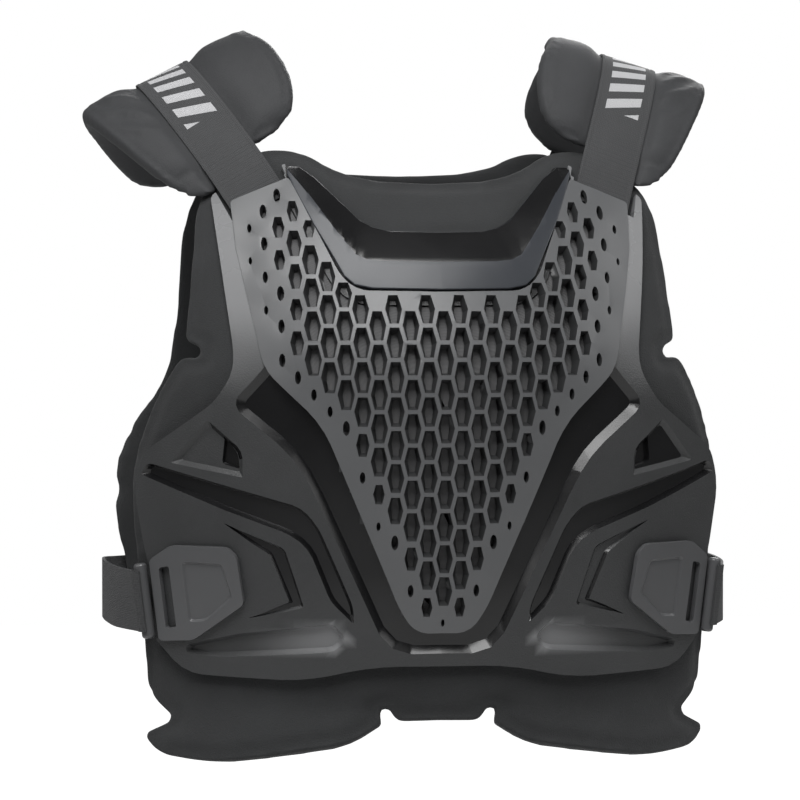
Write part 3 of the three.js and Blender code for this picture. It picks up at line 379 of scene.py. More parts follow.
def depth_inside(x, z, corners):
    """Distance to an outline, positive inside it."""
    nearest, inside = 1e9, False
    for i, (ax, az) in enumerate(corners):
        bx, bz = corners[(i + 1) % len(corners)]
        dx, dz = bx - ax, bz - az
        t = max(0.0, min(1.0, ((x - ax) * dx + (z - az) * dz) / (dx * dx + dz * dz)))
        nearest = min(nearest, math.hypot(ax + dx * t - x, az + dz * t - z))
        if (az > z) != (bz > z) and x < dx * (z - az) / dz + ax:
            inside = not inside
    return nearest if inside else -nearest


def nearest_on(x, z, corners):
    """Nearest point of an outline, and how far off it is."""
    best, least = None, 1e9
    for i, (ax, az) in enumerate(corners):
        bx, bz = corners[(i + 1) % len(corners)]
        dx, dz = bx - ax, bz - az
        t = max(0.0, min(1.0, ((x - ax) * dx + (z - az) * dz) / (dx * dx + dz * dz)))
        away = math.hypot(ax + dx * t - x, az + dz * t - z)
        if away < least:
            best, least = Vector((ax + dx * t, az + dz * t)), away
    return best, least


def ramp(value, low, high):
    t = max(0.0, min(1.0, (value - low) / (high - low)))
    return t * t * (3 - 2 * t)


# Flat modelling: x is across, y is up, z is the height above the liner's face, all in mm

def add_outline(bm, table, height, side=None, segments=3, inward=0.0):
    """A face of an outline moved inward, with its corners rounded."""
    s = sizes()
    radii = [r * s.half_width for a, d, r in table]
    if side is None:
        radii = radii + radii[-2:0:-1]
    corners = polygon(table, side)
    if inward:
        corners = inset_corners(corners, inward)
    verts = [bm.verts.new((x, y, height)) for x, y in corners]
    face = bm.faces.new(verts)
    if face.normal.z == 0:
        face.normal_update()
    if face.normal.z < 0:
        face.normal_flip()
    count = len(verts)
    lengths = [(verts[i].co - verts[(i + 1) % count].co).length for i in range(count)]
    for i, (vert, radius) in enumerate(zip(verts, radii)):
        reach = min(radius, lengths[i - 1] * 0.45, lengths[i] * 0.45)
        if reach > 0.3:
            bmesh.ops.bevel(bm, geom=[vert], offset=reach, offset_type='OFFSET', affect='VERTICES',
                            segments=segments, profile=0.5, material=-1)


def slab(table, low, high, side=None, segments=3, grow=0.0):
    """A flat solid between two heights."""
    bm = bmesh.new()
    add_outline(bm, table, low, side, segments, -grow)
    made = bmesh.ops.extrude_face_region(bm, geom=bm.faces[:])
    moved = [v for v in made["geom"] if isinstance(v, bmesh.types.BMVert)]
    bmesh.ops.translate(bm, verts=moved, vec=(0, 0, high - low))
    bmesh.ops.recalc_face_normals(bm, faces=bm.faces[:])
    return bm


def rounded(table):
    """Points of an outline with its corners rounded."""
    bm = bmesh.new()
    add_outline(bm, table, 0.0)
    bm.faces.ensure_lookup_table()
    points = [(v.co.x, v.co.y) for v in bm.faces[0].verts]
    bm.free()
    return points


def inset_corners(corners, run):
    """Corners of an outline moved in by run along both of their edges."""
    area = sum(ax * bz - bx * az for (ax, az), (bx, bz) in zip(corners, corners[1:] + corners[:1]))
    turn = math.copysign(1.0, area)
    moved = []
    for i, (x, z) in enumerate(corners):
        sides = []
        for (ax, az), (bx, bz) in ((corners[i - 1], (x, z)), ((x, z), corners[(i + 1) % len(corners)])):
            length = math.hypot(bx - ax, bz - az)
            sides.append((-(bz - az) / length * turn, (bx - ax) / length * turn))
        (ax, az), (bx, bz) = sides
        reach = run / max(0.35, 1 + ax * bx + az * bz)
        moved.append((x + (ax + bx) * reach, z + (az + bz) * reach))
    return moved


def recess(bm, table, top, depth, run, side=None, segments=2):
    """Adds a cutter whose walls slope in by run over the depth."""
    part = bmesh.new()
    for height, inward in ((top + 1.0, -run / depth), (top - depth, run)):
        layer = bmesh.new()
        add_outline(layer, table, height, side, segments, inward)
        join_into(part, layer)
    bmesh.ops.bridge_loops(part, edges=part.edges[:])
    bmesh.ops.recalc_face_normals(part, faces=part.faces[:])
    join_into(bm, part)


def join_into(bm, part):
    """Adds a part's mesh to another and frees it."""
    mesh = bpy.data.meshes.new("part")
    part.to_mesh(mesh)
    part.free()
    bm.from_mesh(mesh)
    bpy.data.meshes.remove(mesh)


def boolean(bm, cutter):
    """bm with the cutter taken out, by the exact solver."""
    objects = []
    for name, source in (("target", bm), ("cutter", cutter)):
        mesh = bpy.data.meshes.new(name)
        source.to_mesh(mesh)
        source.free()
        obj = bpy.data.objects.new(name, mesh)
        bpy.context.collection.objects.link(obj)
        objects.append(obj)
    modifier = objects[0].modifiers.new("cut", 'BOOLEAN')
    modifier.operation = 'DIFFERENCE'
    modifier.solver = 'EXACT'
    modifier.use_self = True
    modifier.object = objects[1]
    result = bmesh.new()
    result.from_object(objects[0], bpy.context.evaluated_depsgraph_get())
    for obj in objects:
        mesh = obj.data
        bpy.data.objects.remove(obj)
        bpy.data.meshes.remove(mesh)
    bmesh.ops.remove_doubles(result, verts=result.verts[:], dist=1e-4)
    return result


def clean_flat(bm):
    """Joins the flat faces that booleans split."""
    bmesh.ops.dissolve_limit(bm, angle_limit=math.radians(1.0), verts=bm.verts[:], edges=bm.edges[:])


def soften(bm, width, segments=2, least=25.0):
    """Rounds every edge sharper than least degrees."""
    edges = [e for e in bm.edges if len(e.link_faces) == 2 and e.calc_face_angle() > math.radians(least)]
    bmesh.ops.bevel(bm, geom=edges, offset=width, offset_type='OFFSET', affect='EDGES',
                    segments=segments, profile=0.5, material=-1, clamp_overlap=True)


def cut_net(bm, step):
    """Cuts the faces along a net of lines, so that they can bend."""
    xs = [v.co.x for v in bm.verts]
    ys = [v.co.y for v in bm.verts]
    for axis, places in ((0, xs), (1, ys)):
        for i in range(math.ceil(min(places) / step), math.floor(max(places) / step) + 1):
            place, normal = [0.0, 0.0, 0.0], [0.0, 0.0, 0.0]
            place[axis], normal[axis] = i * step + NET_OFFSET, 1.0
            bmesh.ops.bisect_plane(bm, geom=bm.verts[:] + bm.edges[:] + bm.faces[:], dist=0.001,
                                   plane_co=place, plane_no=normal)


def wrap(bm, facing, shape=None):
    """Bends a flat solid over the torso and turns it into metres."""
    for vert in bm.verts:
        x, y, h = vert.co
        if shape:
            h += shape(x, y, h)
        vert.co = bend(x, y, h, facing) * MM
    bmesh.ops.recalc_face_normals(bm, faces=bm.faces[:])


def finish(bm, name, node, materials, sharp=38.0, levels=0):
    """The piece's object, which rides the body in place of its node."""
    mesh = bpy.data.meshes.new(name)
    bm.to_mesh(mesh)
    bm.free()
    for material in materials:
        mesh.materials.append(material)
    mesh.shade_smooth()
    if sharp:
        mesh.set_sharp_from_angle(angle=math.radians(sharp))
    obj = bpy.data.objects.new(name, mesh)
    bpy.context.collection.objects.link(obj)
    if levels:
        modifier = obj.modifiers.new("smooth", 'SUBSURF')
        modifier.levels = modifier.render_levels = levels
    else:
        modifier = obj.modifiers.new("crisp", 'WEIGHTED_NORMAL')
        modifier.keep_sharp = True
        modifier.weight = 80
    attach(obj, "root")
    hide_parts(node)
    return obj


# Shader groups and materials

def group(name, inputs, outputs):
    """A node group by name; its input and output nodes too where it is new, else None for both."""
    tree = bpy.data.node_groups.get(name)
    if tree:
        return tree, None, None
    tree = bpy.data.node_groups.new(name, 'ShaderNodeTree')
    for label, kind, default in inputs:
        socket = tree.interface.new_socket(name=label, in_out='INPUT', socket_type=kind)
        if default is not None:
            socket.default_value = default
    for label, kind in outputs:
        tree.interface.new_socket(name=label, in_out='OUTPUT', socket_type=kind)
    return tree, tree.nodes.new('NodeGroupInput'), tree.nodes.new('NodeGroupOutput')


def grain_group():
    """Fine moulded or fibrous grain: a mask and a bumped normal."""
    tree, source, out = group("FineGrain", [
        ("Vector", 'NodeSocketVector', None), ("Scale", 'NodeSocketFloat', 900.0),
        ("Strength", 'NodeSocketFloat', 0.2), ("Distance", 'NodeSocketFloat', 0.0004),
    ], [("Mask", 'NodeSocketFloat'), ("Normal", 'NodeSocketVector')])
    if source:
        noise = tree.nodes.new('ShaderNodeTexNoise')
        noise.inputs["Detail"].default_value = 3.0
        bump = tree.nodes.new('ShaderNodeBump')
        tree.links.new(source.outputs["Vector"], noise.inputs["Vector"])
        tree.links.new(source.outputs["Scale"], noise.inputs["Scale"])
        tree.links.new(source.outputs["Strength"], bump.inputs["Strength"])
        tree.links.new(source.outputs["Distance"], bump.inputs["Distance"])
        tree.links.new(noise.outputs["Fac"], bump.inputs["Height"])
        tree.links.new(noise.outputs["Fac"], out.inputs["Mask"])
        tree.links.new(bump.outputs["Normal"], out.inputs["Normal"])
    return tree


def rib_group():
    """Woven ribs: bands along X crossed by bands along Y of the given vector."""
    tree, source, out = group("WovenRibs", [
        ("Vector", 'NodeSocketVector', None), ("Scale", 'NodeSocketFloat', 300.0),
        ("Strength", 'NodeSocketFloat', 0.5), ("Distance", 'NodeSocketFloat', 0.0005),
    ], [("Mask", 'NodeSocketFloat'), ("Normal", 'NodeSocketVector')])
    if source:
        waves = []
        for direction in ('X', 'Y'):
            wave = tree.nodes.new('ShaderNodeTexWave')
            wave.bands_direction = direction
            wave.inputs["Distortion"].default_value = 0.4
            wave.inputs["Detail"].default_value = 1.0
            tree.links.new(source.outputs["Vector"], wave.inputs["Vector"])
            tree.links.new(source.outputs["Scale"], wave.inputs["Scale"])
            waves.append(wave)
        both = tree.nodes.new('ShaderNodeMath')
        both.operation = 'MULTIPLY'
        tree.links.new(waves[0].outputs["Fac"], both.inputs[0])
        tree.links.new(waves[1].outputs["Fac"], both.inputs[1])
        bump = tree.nodes.new('ShaderNodeBump')
        tree.links.new(source.outputs["Strength"], bump.inputs["Strength"])
        tree.links.new(source.outputs["Distance"], bump.inputs["Distance"])
        tree.links.new(both.outputs[0], bump.inputs["Height"])
        tree.links.new(both.outputs[0], out.inputs["Mask"])
        tree.links.new(bump.outputs["Normal"], out.inputs["Normal"])
    return tree


def cloud_group():
    """Broad uneven patches of handling and dust: a mask."""
    tree, source, out = group("SoftPatches", [
        ("Vector", 'NodeSocketVector', None), ("Scale", 'NodeSocketFloat', 12.0),
    ], [("Mask", 'NodeSocketFloat')])
    if source:
        noise = tree.nodes.new('ShaderNodeTexNoise')
        noise.inputs["Detail"].default_value = 5.0
        noise.inputs["Roughness"].default_value = 0.6
        tree.links.new(source.outputs["Vector"], noise.inputs["Vector"])
        tree.links.new(source.outputs["Scale"], noise.inputs["Scale"])
        tree.links.new(noise.outputs["Fac"], out.inputs["Mask"])
    return tree


def mapped(tree, value, low, high):
    """A noise value spread over a range."""
    node = tree.nodes.new('ShaderNodeMapRange')
    node.inputs["From Min"].default_value = 0.3
    node.inputs["From Max"].default_value = 0.7
    node.inputs["To Min"].default_value = low
    node.inputs["To Max"].default_value = high
    tree.links.new(value, node.inputs["Value"])
    return node.outputs["Result"]


def surface(name, color, roughness, kind="grain", scale=900.0, strength=0.2, distance=0.0004,
            spread=0.05, tint=0.16, sheen=0.0, coat=0.0, specular=0.5,
            coordinates='Object', print_color=None, satin=None):
    """A procedural material with grain or weave, uneven roughness and uneven colour."""
    name = "look_" + name
    material = bpy.data.materials.get(name)
    if material:
        return material
    material = bpy.data.materials.new(name)
    material.use_nodes = True
    tree = material.node_tree
    shader = tree.nodes["Principled BSDF"]
    shader.inputs["Sheen Weight"].default_value = sheen
    shader.inputs["Specular IOR Level"].default_value = specular
    shader.inputs["Coat Weight"].default_value = coat
    shader.inputs["Coat Roughness"].default_value = 0.12
    place = tree.nodes.new('ShaderNodeTexCoord').outputs[coordinates]
    detail = tree.nodes.new('ShaderNodeGroup')
    detail.node_tree = rib_group() if kind == "ribs" else grain_group()
    detail.inputs["Scale"].default_value = scale
    detail.inputs["Strength"].default_value = strength
    detail.inputs["Distance"].default_value = distance
    patches = tree.nodes.new('ShaderNodeGroup')
    patches.node_tree = cloud_group()
    tree.links.new(place, detail.inputs["Vector"])
    tree.links.new(place, patches.inputs["Vector"])
    mix = tree.nodes.new('ShaderNodeMix')
    mix.data_type = 'RGBA'
    mix.inputs["A"].default_value = (*[c * (1 - tint) for c in color], 1)
    mix.inputs["B"].default_value = (*[min(1, c * (1 + tint)) for c in color], 1)
    joined = tree.nodes.new('ShaderNodeMath')
    joined.operation = 'MULTIPLY_ADD'
    joined.inputs[1].default_value = 0.5
    tree.links.new(detail.outputs["Mask"], joined.inputs[0])
    tree.links.new(mapped(tree, patches.outputs["Mask"], 0.0, 0.5), joined.inputs[2])
    tree.links.new(joined.outputs[0], mix.inputs["Factor"])
    base = mix.outputs["Result"]
    if print_color is not None:
        base = add_print(tree, base, place, print_color)
    rough = mapped(tree, patches.outputs["Mask"], roughness - spread, roughness + spread)
    # The satin attribute lowers the roughness and calms the grain, and also blends the colour towards a
    # lighter grey as a painted highlight.
    if satin is not None:
        share = tree.nodes.new('ShaderNodeAttribute')
        share.attribute_name = "satin"
        blend = tree.nodes.new('ShaderNodeMix')
        blend.data_type = 'RGBA'
        blend.inputs["B"].default_value = (*satin, 1)
        tree.links.new(base, blend.inputs["A"])
        tree.links.new(share.outputs["Fac"], blend.inputs["Factor"])
        base = blend.outputs["Result"]
        smoother = tree.nodes.new('ShaderNodeMath')
        smoother.operation = 'MULTIPLY_ADD'
        smoother.inputs[1].default_value = -0.18
        tree.links.new(share.outputs["Fac"], smoother.inputs[0])
        tree.links.new(rough, smoother.inputs[2])
        rough = smoother.outputs[0]
        calmer = tree.nodes.new('ShaderNodeMapRange')
        calmer.inputs["To Min"].default_value = strength
        calmer.inputs["To Max"].default_value = 0.04
        tree.links.new(share.outputs["Fac"], calmer.inputs["Value"])
        tree.links.new(calmer.outputs["Result"], detail.inputs["Strength"])
    tree.links.new(base, shader.inputs["Base Color"])
    tree.links.new(rough, shader.inputs["Roughness"])
    tree.links.new(detail.outputs["Normal"], shader.inputs["Normal"])
    return material


def print_group():
    """Slanted printed bars along webbing: a mask."""
    tree, source, out = group("PrintedBars", [
        ("Vector", 'NodeSocketVector', None), ("Pitch", 'NodeSocketFloat', 0.012),
        ("Slant", 'NodeSocketFloat', 0.35), ("Half Width", 'NodeSocketFloat', 0.0125),
        ("Start", 'NodeSocketFloat', -0.062), ("End", 'NodeSocketFloat', 0.006),
    ], [("Mask", 'NodeSocketFloat')])
    if source:
        def math_node(operation, a, b):
            node = tree.nodes.new('ShaderNodeMath')
            node.operation = operation
            for socket, value in zip(node.inputs, (a, b)):
                if isinstance(value, (int, float)):
                    socket.default_value = value
                elif value is not None:
                    tree.links.new(value, socket)
            return node.outputs[0]

        split = tree.nodes.new('ShaderNodeSeparateXYZ')
        tree.links.new(source.outputs["Vector"], split.inputs[0])
        across, along = split.outputs["X"], split.outputs["Y"]
        slid = math_node('ADD', along, math_node('MULTIPLY', across, source.outputs["Slant"]))
        turns = math_node('FRACT', math_node('DIVIDE', slid, source.outputs["Pitch"]), None)
        bars = math_node('LESS_THAN', math_node('ABSOLUTE', math_node('SUBTRACT', turns, 0.5), None), 0.27)
        wide = math_node('LESS_THAN', math_node('ABSOLUTE', across, None), source.outputs["Half Width"])
        after = math_node('GREATER_THAN', along, source.outputs["Start"])
        before = math_node('LESS_THAN', along, source.outputs["End"])
        mask = math_node('MULTIPLY', math_node('MULTIPLY', bars, wide), math_node('MULTIPLY', after, before))
        tree.links.new(mask, out.inputs["Mask"])
    return tree


def add_print(tree, base, place, print_color):
    """The base colour with the printed bars over it."""
    bars = tree.nodes.new('ShaderNodeGroup')
    bars.node_tree = print_group()
    tree.links.new(place, bars.inputs["Vector"])
    mix = tree.nodes.new('ShaderNodeMix')
    mix.data_type = 'RGBA'
    mix.inputs["B"].default_value = (*print_color, 1)
    tree.links.new(bars.outputs["Mask"], mix.inputs["Factor"])
    tree.links.new(base, mix.inputs["A"])
    return mix.outputs["Result"]


def liner_cloth():
    return surface("liner_cloth", looks().liner, 0.86, scale=1100, strength=0.7, distance=0.0007,
                   tint=0.45, sheen=0.08, specular=0.3)


def matte_plate():
    return surface("matte_plate", looks().plate, 0.46, scale=900, strength=0.55, distance=0.0006, tint=0.3,
                   satin=looks().rail)


def gloss_channel():
    return surface("gloss_channel", looks().channel, 0.24, scale=700, strength=0.03, distance=0.0002)


def panel_plastic():
    return surface("panel_plastic", looks().panel, 0.36, scale=1400, strength=0.10, distance=0.0002,
                   tint=0.08)


# Pieces of the front

def padded_body(table, facing, covers, voxel):
    """A foam and cloth body: a puffed slab with a pressed rim, bent over the torso."""
    s = sizes()
    bm = slab(table, -s.liner, 0.0)
    corners = polygon(table)
    covered = [polygon(cover) for cover in covers]

    def free(x, y):
        return min([ramp(-depth_inside(x, y, cover), 0.5, 7.0) for cover in covered])

    def allow(place):
        rim = ramp(depth_inside(place.x, place.y, corners), 3.0, 12.0)
        return 0.1 + 1.3 * rim * (free(place.x, place.y) if place.z > -s.liner / 2 else 0.6)

    rim = rounded(table)

    def settle(place):
        """Brings the points near the rim onto its outline."""
        x, y, h = place
        if abs(depth_inside(x, y, corners)) > 5:
            return place
        nearest, away = nearest_on(x, y, rim)
        if away > voxel * 0.62 and depth_inside(x, y, rim) > 0:
            return place
        round_off = 1.8 * abs(2 * h / s.liner + 1) ** 3
        inner = Vector((x, y)) if depth_inside(x, y, rim) > 0 else nearest * 2 - Vector((x, y))
        towards = inner - nearest
        if towards.length > 1e-4:
            nearest = nearest + towards.normalized() * round_off
        return Vector((nearest.x, nearest.y, h))

    bm = puffed(bm, voxel, pads().puff, allow, settle)
    bmesh.ops.smooth_vert(bm, verts=bm.verts[:], factor=0.5, use_axis_z=True)

    def shape(x, y, h):
        inside = depth_inside(x, y, corners)
        pressed = ramp(inside, 1.0, 3.0) * (1 - ramp(inside, 6.0, 11.0))
        if h < -s.liner * 0.5:
            return 1.2 * pressed
        open_part = free(x, y)
        folds = math.sin(x * 0.05 + 2.0 * math.sin(y * 0.03)) * math.sin(y * 0.043 + x * 0.02)
        hem = ramp(-y, s.height * 0.88, s.height * 0.99)
        return open_part * (0.5 * folds * ramp(inside, 8, 26) - 1.8 * pressed + 2.0 * hem)

    wrap(bm, facing, shape)
    return bm


def build_front_liner():
    bm = padded_body(LINER_OUTLINE, -1, (PLATE_OUTLINE, PANEL_OUTLINE), 3.6)
    obj = finish(bm, "front_liner_body", "front_liner", [liner_cloth()], sharp=0, levels=1)


def build_vent_backing():
    s = sizes()
    bm = slab(PANEL_OUTLINE, s.gap, s.gap + BACKING_THICKNESS, grow=-BACKING_INSET)
    cut_net(bm, 9.0)
    wrap(bm, -1)
    weave = surface("backing_weave", looks().backing, 0.9, kind="ribs", scale=420, strength=0.5,
                    distance=0.0004, tint=0.22, sheen=0.2)
    cloth = finish(bm, "vent_backing_cloth", "vent_backing", [weave])


def plate_shape(x, y, h):
    """Lets the rails fall away outwards from the panel's edge."""
    s = sizes()
    if h < s.floor + s.gap + 0.2:
        return 0.0
    outside = -depth_inside(x, y, polygon(PANEL_OUTLINE))
    rail = 1 - ramp(-y, s.height * 0.40, s.height * 0.47)
    return -0.24 * max(0.0, outside - 1.0) * rail * (1 if outside > 0 else 0)


def build_base_plate():
    s = sizes()
    low, high = s.gap, s.gap + s.plate
    floor = s.gap + s.floor
    bm = slab(PLATE_OUTLINE, low, high)
    cutter = bmesh.new()
    recess(cutter, CHANNEL_OUTLINE, high, high - floor, 4.5)
    bm = boolean(bm, cutter)
    pocket = slab(PANEL_OUTLINE, floor, high + 3, grow=s.gap)
    bm = boolean(bm, pocket)
    bm = boolean(bm, slab(NECK_SEAT, floor + 0.01, high + 3))
    window = slab(PANEL_OUTLINE, low - 1, high + 3, grow=-WINDOW_INSET)
    bm = boolean(bm, window)
    for side in (-1, 1):
        for table, depth, run in WING_RECESSES:
            cutter = bmesh.new()
            recess(cutter, table, high, depth, run, side)
            bm = boolean(bm, cutter)
        shoulder = SHOULDERS["left" if side < 0 else "right"]
        bm = boolean(bm, tuck(shoulder, high + 2))
    clean_flat(bm)
    # The channel floor takes the near-black gloss colour; the groove, chevron and scoop slot in the wings
    # take it too, as painted shade in their hollows.
    gloss_and_painted_shade = [polygon(CHANNEL_OUTLINE)]
    gloss_and_painted_shade += [polygon(table, side) for table in (GROOVE, CHEVRON, SCOOP_SLOT) for side in (-1, 1)]
    for face in bm.faces:
        x, y, h = face.calc_center_median()
        if h < high - 0.3 and h > low + 0.1 and face.normal.z > 0.05:
            x, y = min((v.co for v in face.verts), key=lambda co: co.z).xy
            on_floor = face.normal.z > 0.9 and h < floor + 0.3
            if on_floor or any(depth_inside(x, y, corners) > 0.2 for corners in gloss_and_painted_shade):
                face.material_index = 1
    soften(bm, 0.7)
    cut_net(bm, s.net)
    # Painted highlight: the rails beside the panel are lightened, fading out downward, and the pocket floors
    # are lightened towards the middle, fading out towards the buckles as painted shadow.
    satin = bm.verts.layers.float.new("satin")
    pockets = [polygon(POCKET, side) for side in (-1, 1)]
    panel = polygon(PANEL_OUTLINE)
    for vert in bm.verts:
        x, y, h = vert.co
        rail = (1 - ramp(-y, s.height * 0.33, s.height * 0.47)) * ramp(-depth_inside(x, y, panel), -1, 0)
        lit = 1 - ramp(abs(x), s.half_width * 0.34, s.half_width * 0.66)
        pocket = lit * max(ramp(depth_inside(x, y, corners), -0.5, 0.6) for corners in pockets)
        vert[satin] = max(rail, pocket)
    for face in bm.faces:
        x, y, h = face.calc_center_median()
        if depth_inside(x, y, panel) > 1.0:
            face.material_index = 0
    wrap(bm, -1, plate_shape)
    finish(bm, "base_plate_body", "base_plate", [matte_plate(), gloss_channel()])


def tuck(shoulder, high):
    """The room under the panel's top edge where the webbing ends."""
    s, p = sizes(), pads()
    side = shoulder["side"]
    centre = Vector((side * shoulder["foot_across"] * s.half_width, -shoulder["foot_down"] * s.height))
    down = Vector((-side * shoulder["foot_turn"], -1.0)).normalized()
    sideways = Vector((-down.y, down.x)) * (p.webbing / 2 + 3.0)
    bm = bmesh.new()
    low_end, high_end = centre + down * 3.0, centre - down * 36.0
    corners = [low_end - sideways, low_end + sideways, high_end + sideways, high_end - sideways]
    bm.faces.new([bm.verts.new((c.x, c.y, -1.0)) for c in corners])
    made = bmesh.ops.extrude_face_region(bm, geom=bm.faces[:])
    moved = [v for v in made["geom"] if isinstance(v, bmesh.types.BMVert)]
    bmesh.ops.translate(bm, verts=moved, vec=(0, 0, high + 1.0))
    bmesh.ops.recalc_face_normals(bm, faces=bm.faces[:])
    return bm


def cell_places():
    """(x, y, scale, upper) of every opening; upper is how far up it reaches before the band."""
    s, c = sizes(), cells()
    growth = polygon(GROWTH_OUTLINE)
    panel = polygon(PANEL_OUTLINE)
    places = []
    for column in range(-15, 16):
        x = s.torso_half_width * math.sin(column * c.column / s.torso_half_width)
        shift = 0.0 if column % 2 == 0 else c.row / 2
        for row in range(-8, 14):
            y = c.top_row + shift - row * c.row
            low = ramp(-y, s.height * 0.34, s.height * 0.44)
            reach = c.growth + (c.growth_low - c.growth) * low
            grown = (depth_inside(x, y, growth) - c.margin) / reach
            scale = min(1.0, LEAST_SCALE + (1 - LEAST_SCALE) * grown)
            if scale < LEAST_SCALE:
                continue
            tall = c.height * scale / 2
            steps = [k * 0.5 for k in range(-4, 60)]
            upper = max((t for t in steps if t <= tall and depth_inside(x, y + t, panel) > 1.6), default=-9)
            if depth_inside(x, y - tall * 0.6, panel) < 2.0 or upper < 0:
                continue
            places.append((x, y, scale, min(upper, tall)))
    return places


def build_chest_panel():
    s, c = sizes(), cells()
    low = s.gap * 2 + s.floor
    high = low + s.panel
    bm = slab(PANEL_OUTLINE, low, high)
    places = cell_places()
    cutter = bmesh.new()
    for x, y, scale, upper in places:
        small = scale < OVAL_SCALE
        segments = 12 if small else 6
        made = bmesh.ops.create_cone(cutter, cap_ends=True, segments=segments, radius1=1, radius2=1, depth=2)
        for vert in made["verts"]:
            along, across, level = vert.co
            back = level < 0
            width = c.width * scale / 2 * (c.inner_width if back else 1.0)
            tall = c.height * scale / 2 * (c.inner_height if back else 1.0)
            if not small:
                along /= math.cos(math.pi / 6)
                if abs(across) < 0.9:
                    across *= 2 * c.top_width / c.width
            else:
                width, tall = width * 0.74, tall * 0.9
            top = min(along * tall, upper - (1.2 if back and upper < tall else 0.0))
            vert.co = Vector((x + across * width, y + top, high + 0.4 if level > 0 else low - 0.4))
    bmesh.ops.recalc_face_normals(cutter, faces=cutter.faces[:])
    bm = boolean(bm, cutter)
    for shoulder in SHOULDERS.values():
        bm = boolean(bm, tuck(shoulder, low + 2.6))
    clean_flat(bm)
    soften(bm, 0.6)
    panel = polygon(PANEL_OUTLINE)
    # Painted shade: the walls of the openings below the top take a darker copy of the panel colour.
    for face in bm.faces:
        x, y, h = face.calc_center_median()
        if abs(face.normal.z) < 0.9 and depth_inside(x, y, panel) > 1.0 and h < high - 0.75:
            face.material_index = 1
    cut_net(bm, s.net)
    dips = [(x, y) for x, y, scale, upper in places if scale < DIPPED_SCALE]

    def shape(x, y, h):
        if h < high - 1.4:
            return 0.0
        near = [(x - a, y - b) for a, b in dips if abs(x - a) < 14 and abs(y - b) < 22]
        dip = sum(math.exp(-(a / 4.6) ** 2 - (b / 8.5) ** 2) for a, b in near)
        crown = ramp(depth_inside(x, y, panel), 0, 26)
        return 0.9 * crown - 1.1 * min(1.2, dip)

    wrap(bm, -1, shape)
    # The walls' material is the panel colour at 0.3, as painted shade.
    walls = surface("panel_walls_painted_shade", [c * 0.3 for c in looks().panel], 0.45, scale=1400, strength=0.1, tint=0.1)
    finish(bm, "chest_panel_body", "chest_panel", [panel_plastic(), walls])


def build_neck_band():
    s = sizes()
    low = s.gap * 2 + s.floor
    heights = (low + 1.6, low + s.band, low + s.band - 0.6)
    stations = NECK_BAND[::-1] + [tuple((-a, d) for a, d in row) for row in NECK_BAND[1:]]
    bm = bmesh.new()
    columns = len(stations) - 1
    bmesh.ops.create_grid(bm, x_segments=columns, y_segments=2, size=1.0)
    for vert in bm.verts:
        i = round((vert.co.x + 1) / 2 * columns)
        j = round((1 - vert.co.y))
        a, d = stations[columns - i][j]
        vert.co = Vector((a * s.half_width, -d * s.height, heights[j]))
    made = bmesh.ops.extrude_face_region(bm, geom=bm.faces[:])
    for vert in (v for v in made["geom"] if isinstance(v, bmesh.types.BMVert)):
        vert.co.z = low
    bmesh.ops.recalc_face_normals(bm, faces=bm.faces[:])
    crease = [(a * s.half_width, -d * s.height) for neck, (a, d), foot in stations[::-1]]
    for face in bm.faces:
        x, y, h = face.calc_center_median()
        edge = straight_table(crease, x)
        if face.normal.z > 0.3 and y > edge:
            face.material_index = 1
    soften(bm, 0.7, segments=3, least=30)
    cut_net(bm, s.net)
    wrap(bm, -1)
    band = surface("band_gloss", looks().band, 0.32, scale=600, strength=0.02, distance=0.0002, tint=0.05,
                   specular=0.4)
    finish(bm, "neck_band_body", "neck_band", [band, gloss_channel()], sharp=50)


# Pieces of the back

def build_back():
    s = sizes()
    bm = padded_body(BACK_LINER_OUTLINE, 1, (BACK_PLATE_OUTLINE,), 6.0)
    liner = finish(bm, "back_liner_body", "back_liner", [liner_cloth()], sharp=0, levels=1)
    high = s.gap + BACK_PLATE_THICKNESS
    bm = slab(BACK_PLATE_OUTLINE, s.gap, high)
    top = [f for f in bm.faces if f.normal.z > 0.9]
    bmesh.ops.inset_region(bm, faces=top, thickness=16.0, use_even_offset=True)
    bmesh.ops.inset_region(bm, faces=top, thickness=3.0, depth=-1.4, use_even_offset=True)
    soften(bm, 0.8)
    cut_net(bm, 9.0)
    wrap(bm, 1)
    finish(bm, "back_plate_body", "back_plate", [matte_plate()])


# Shoulders

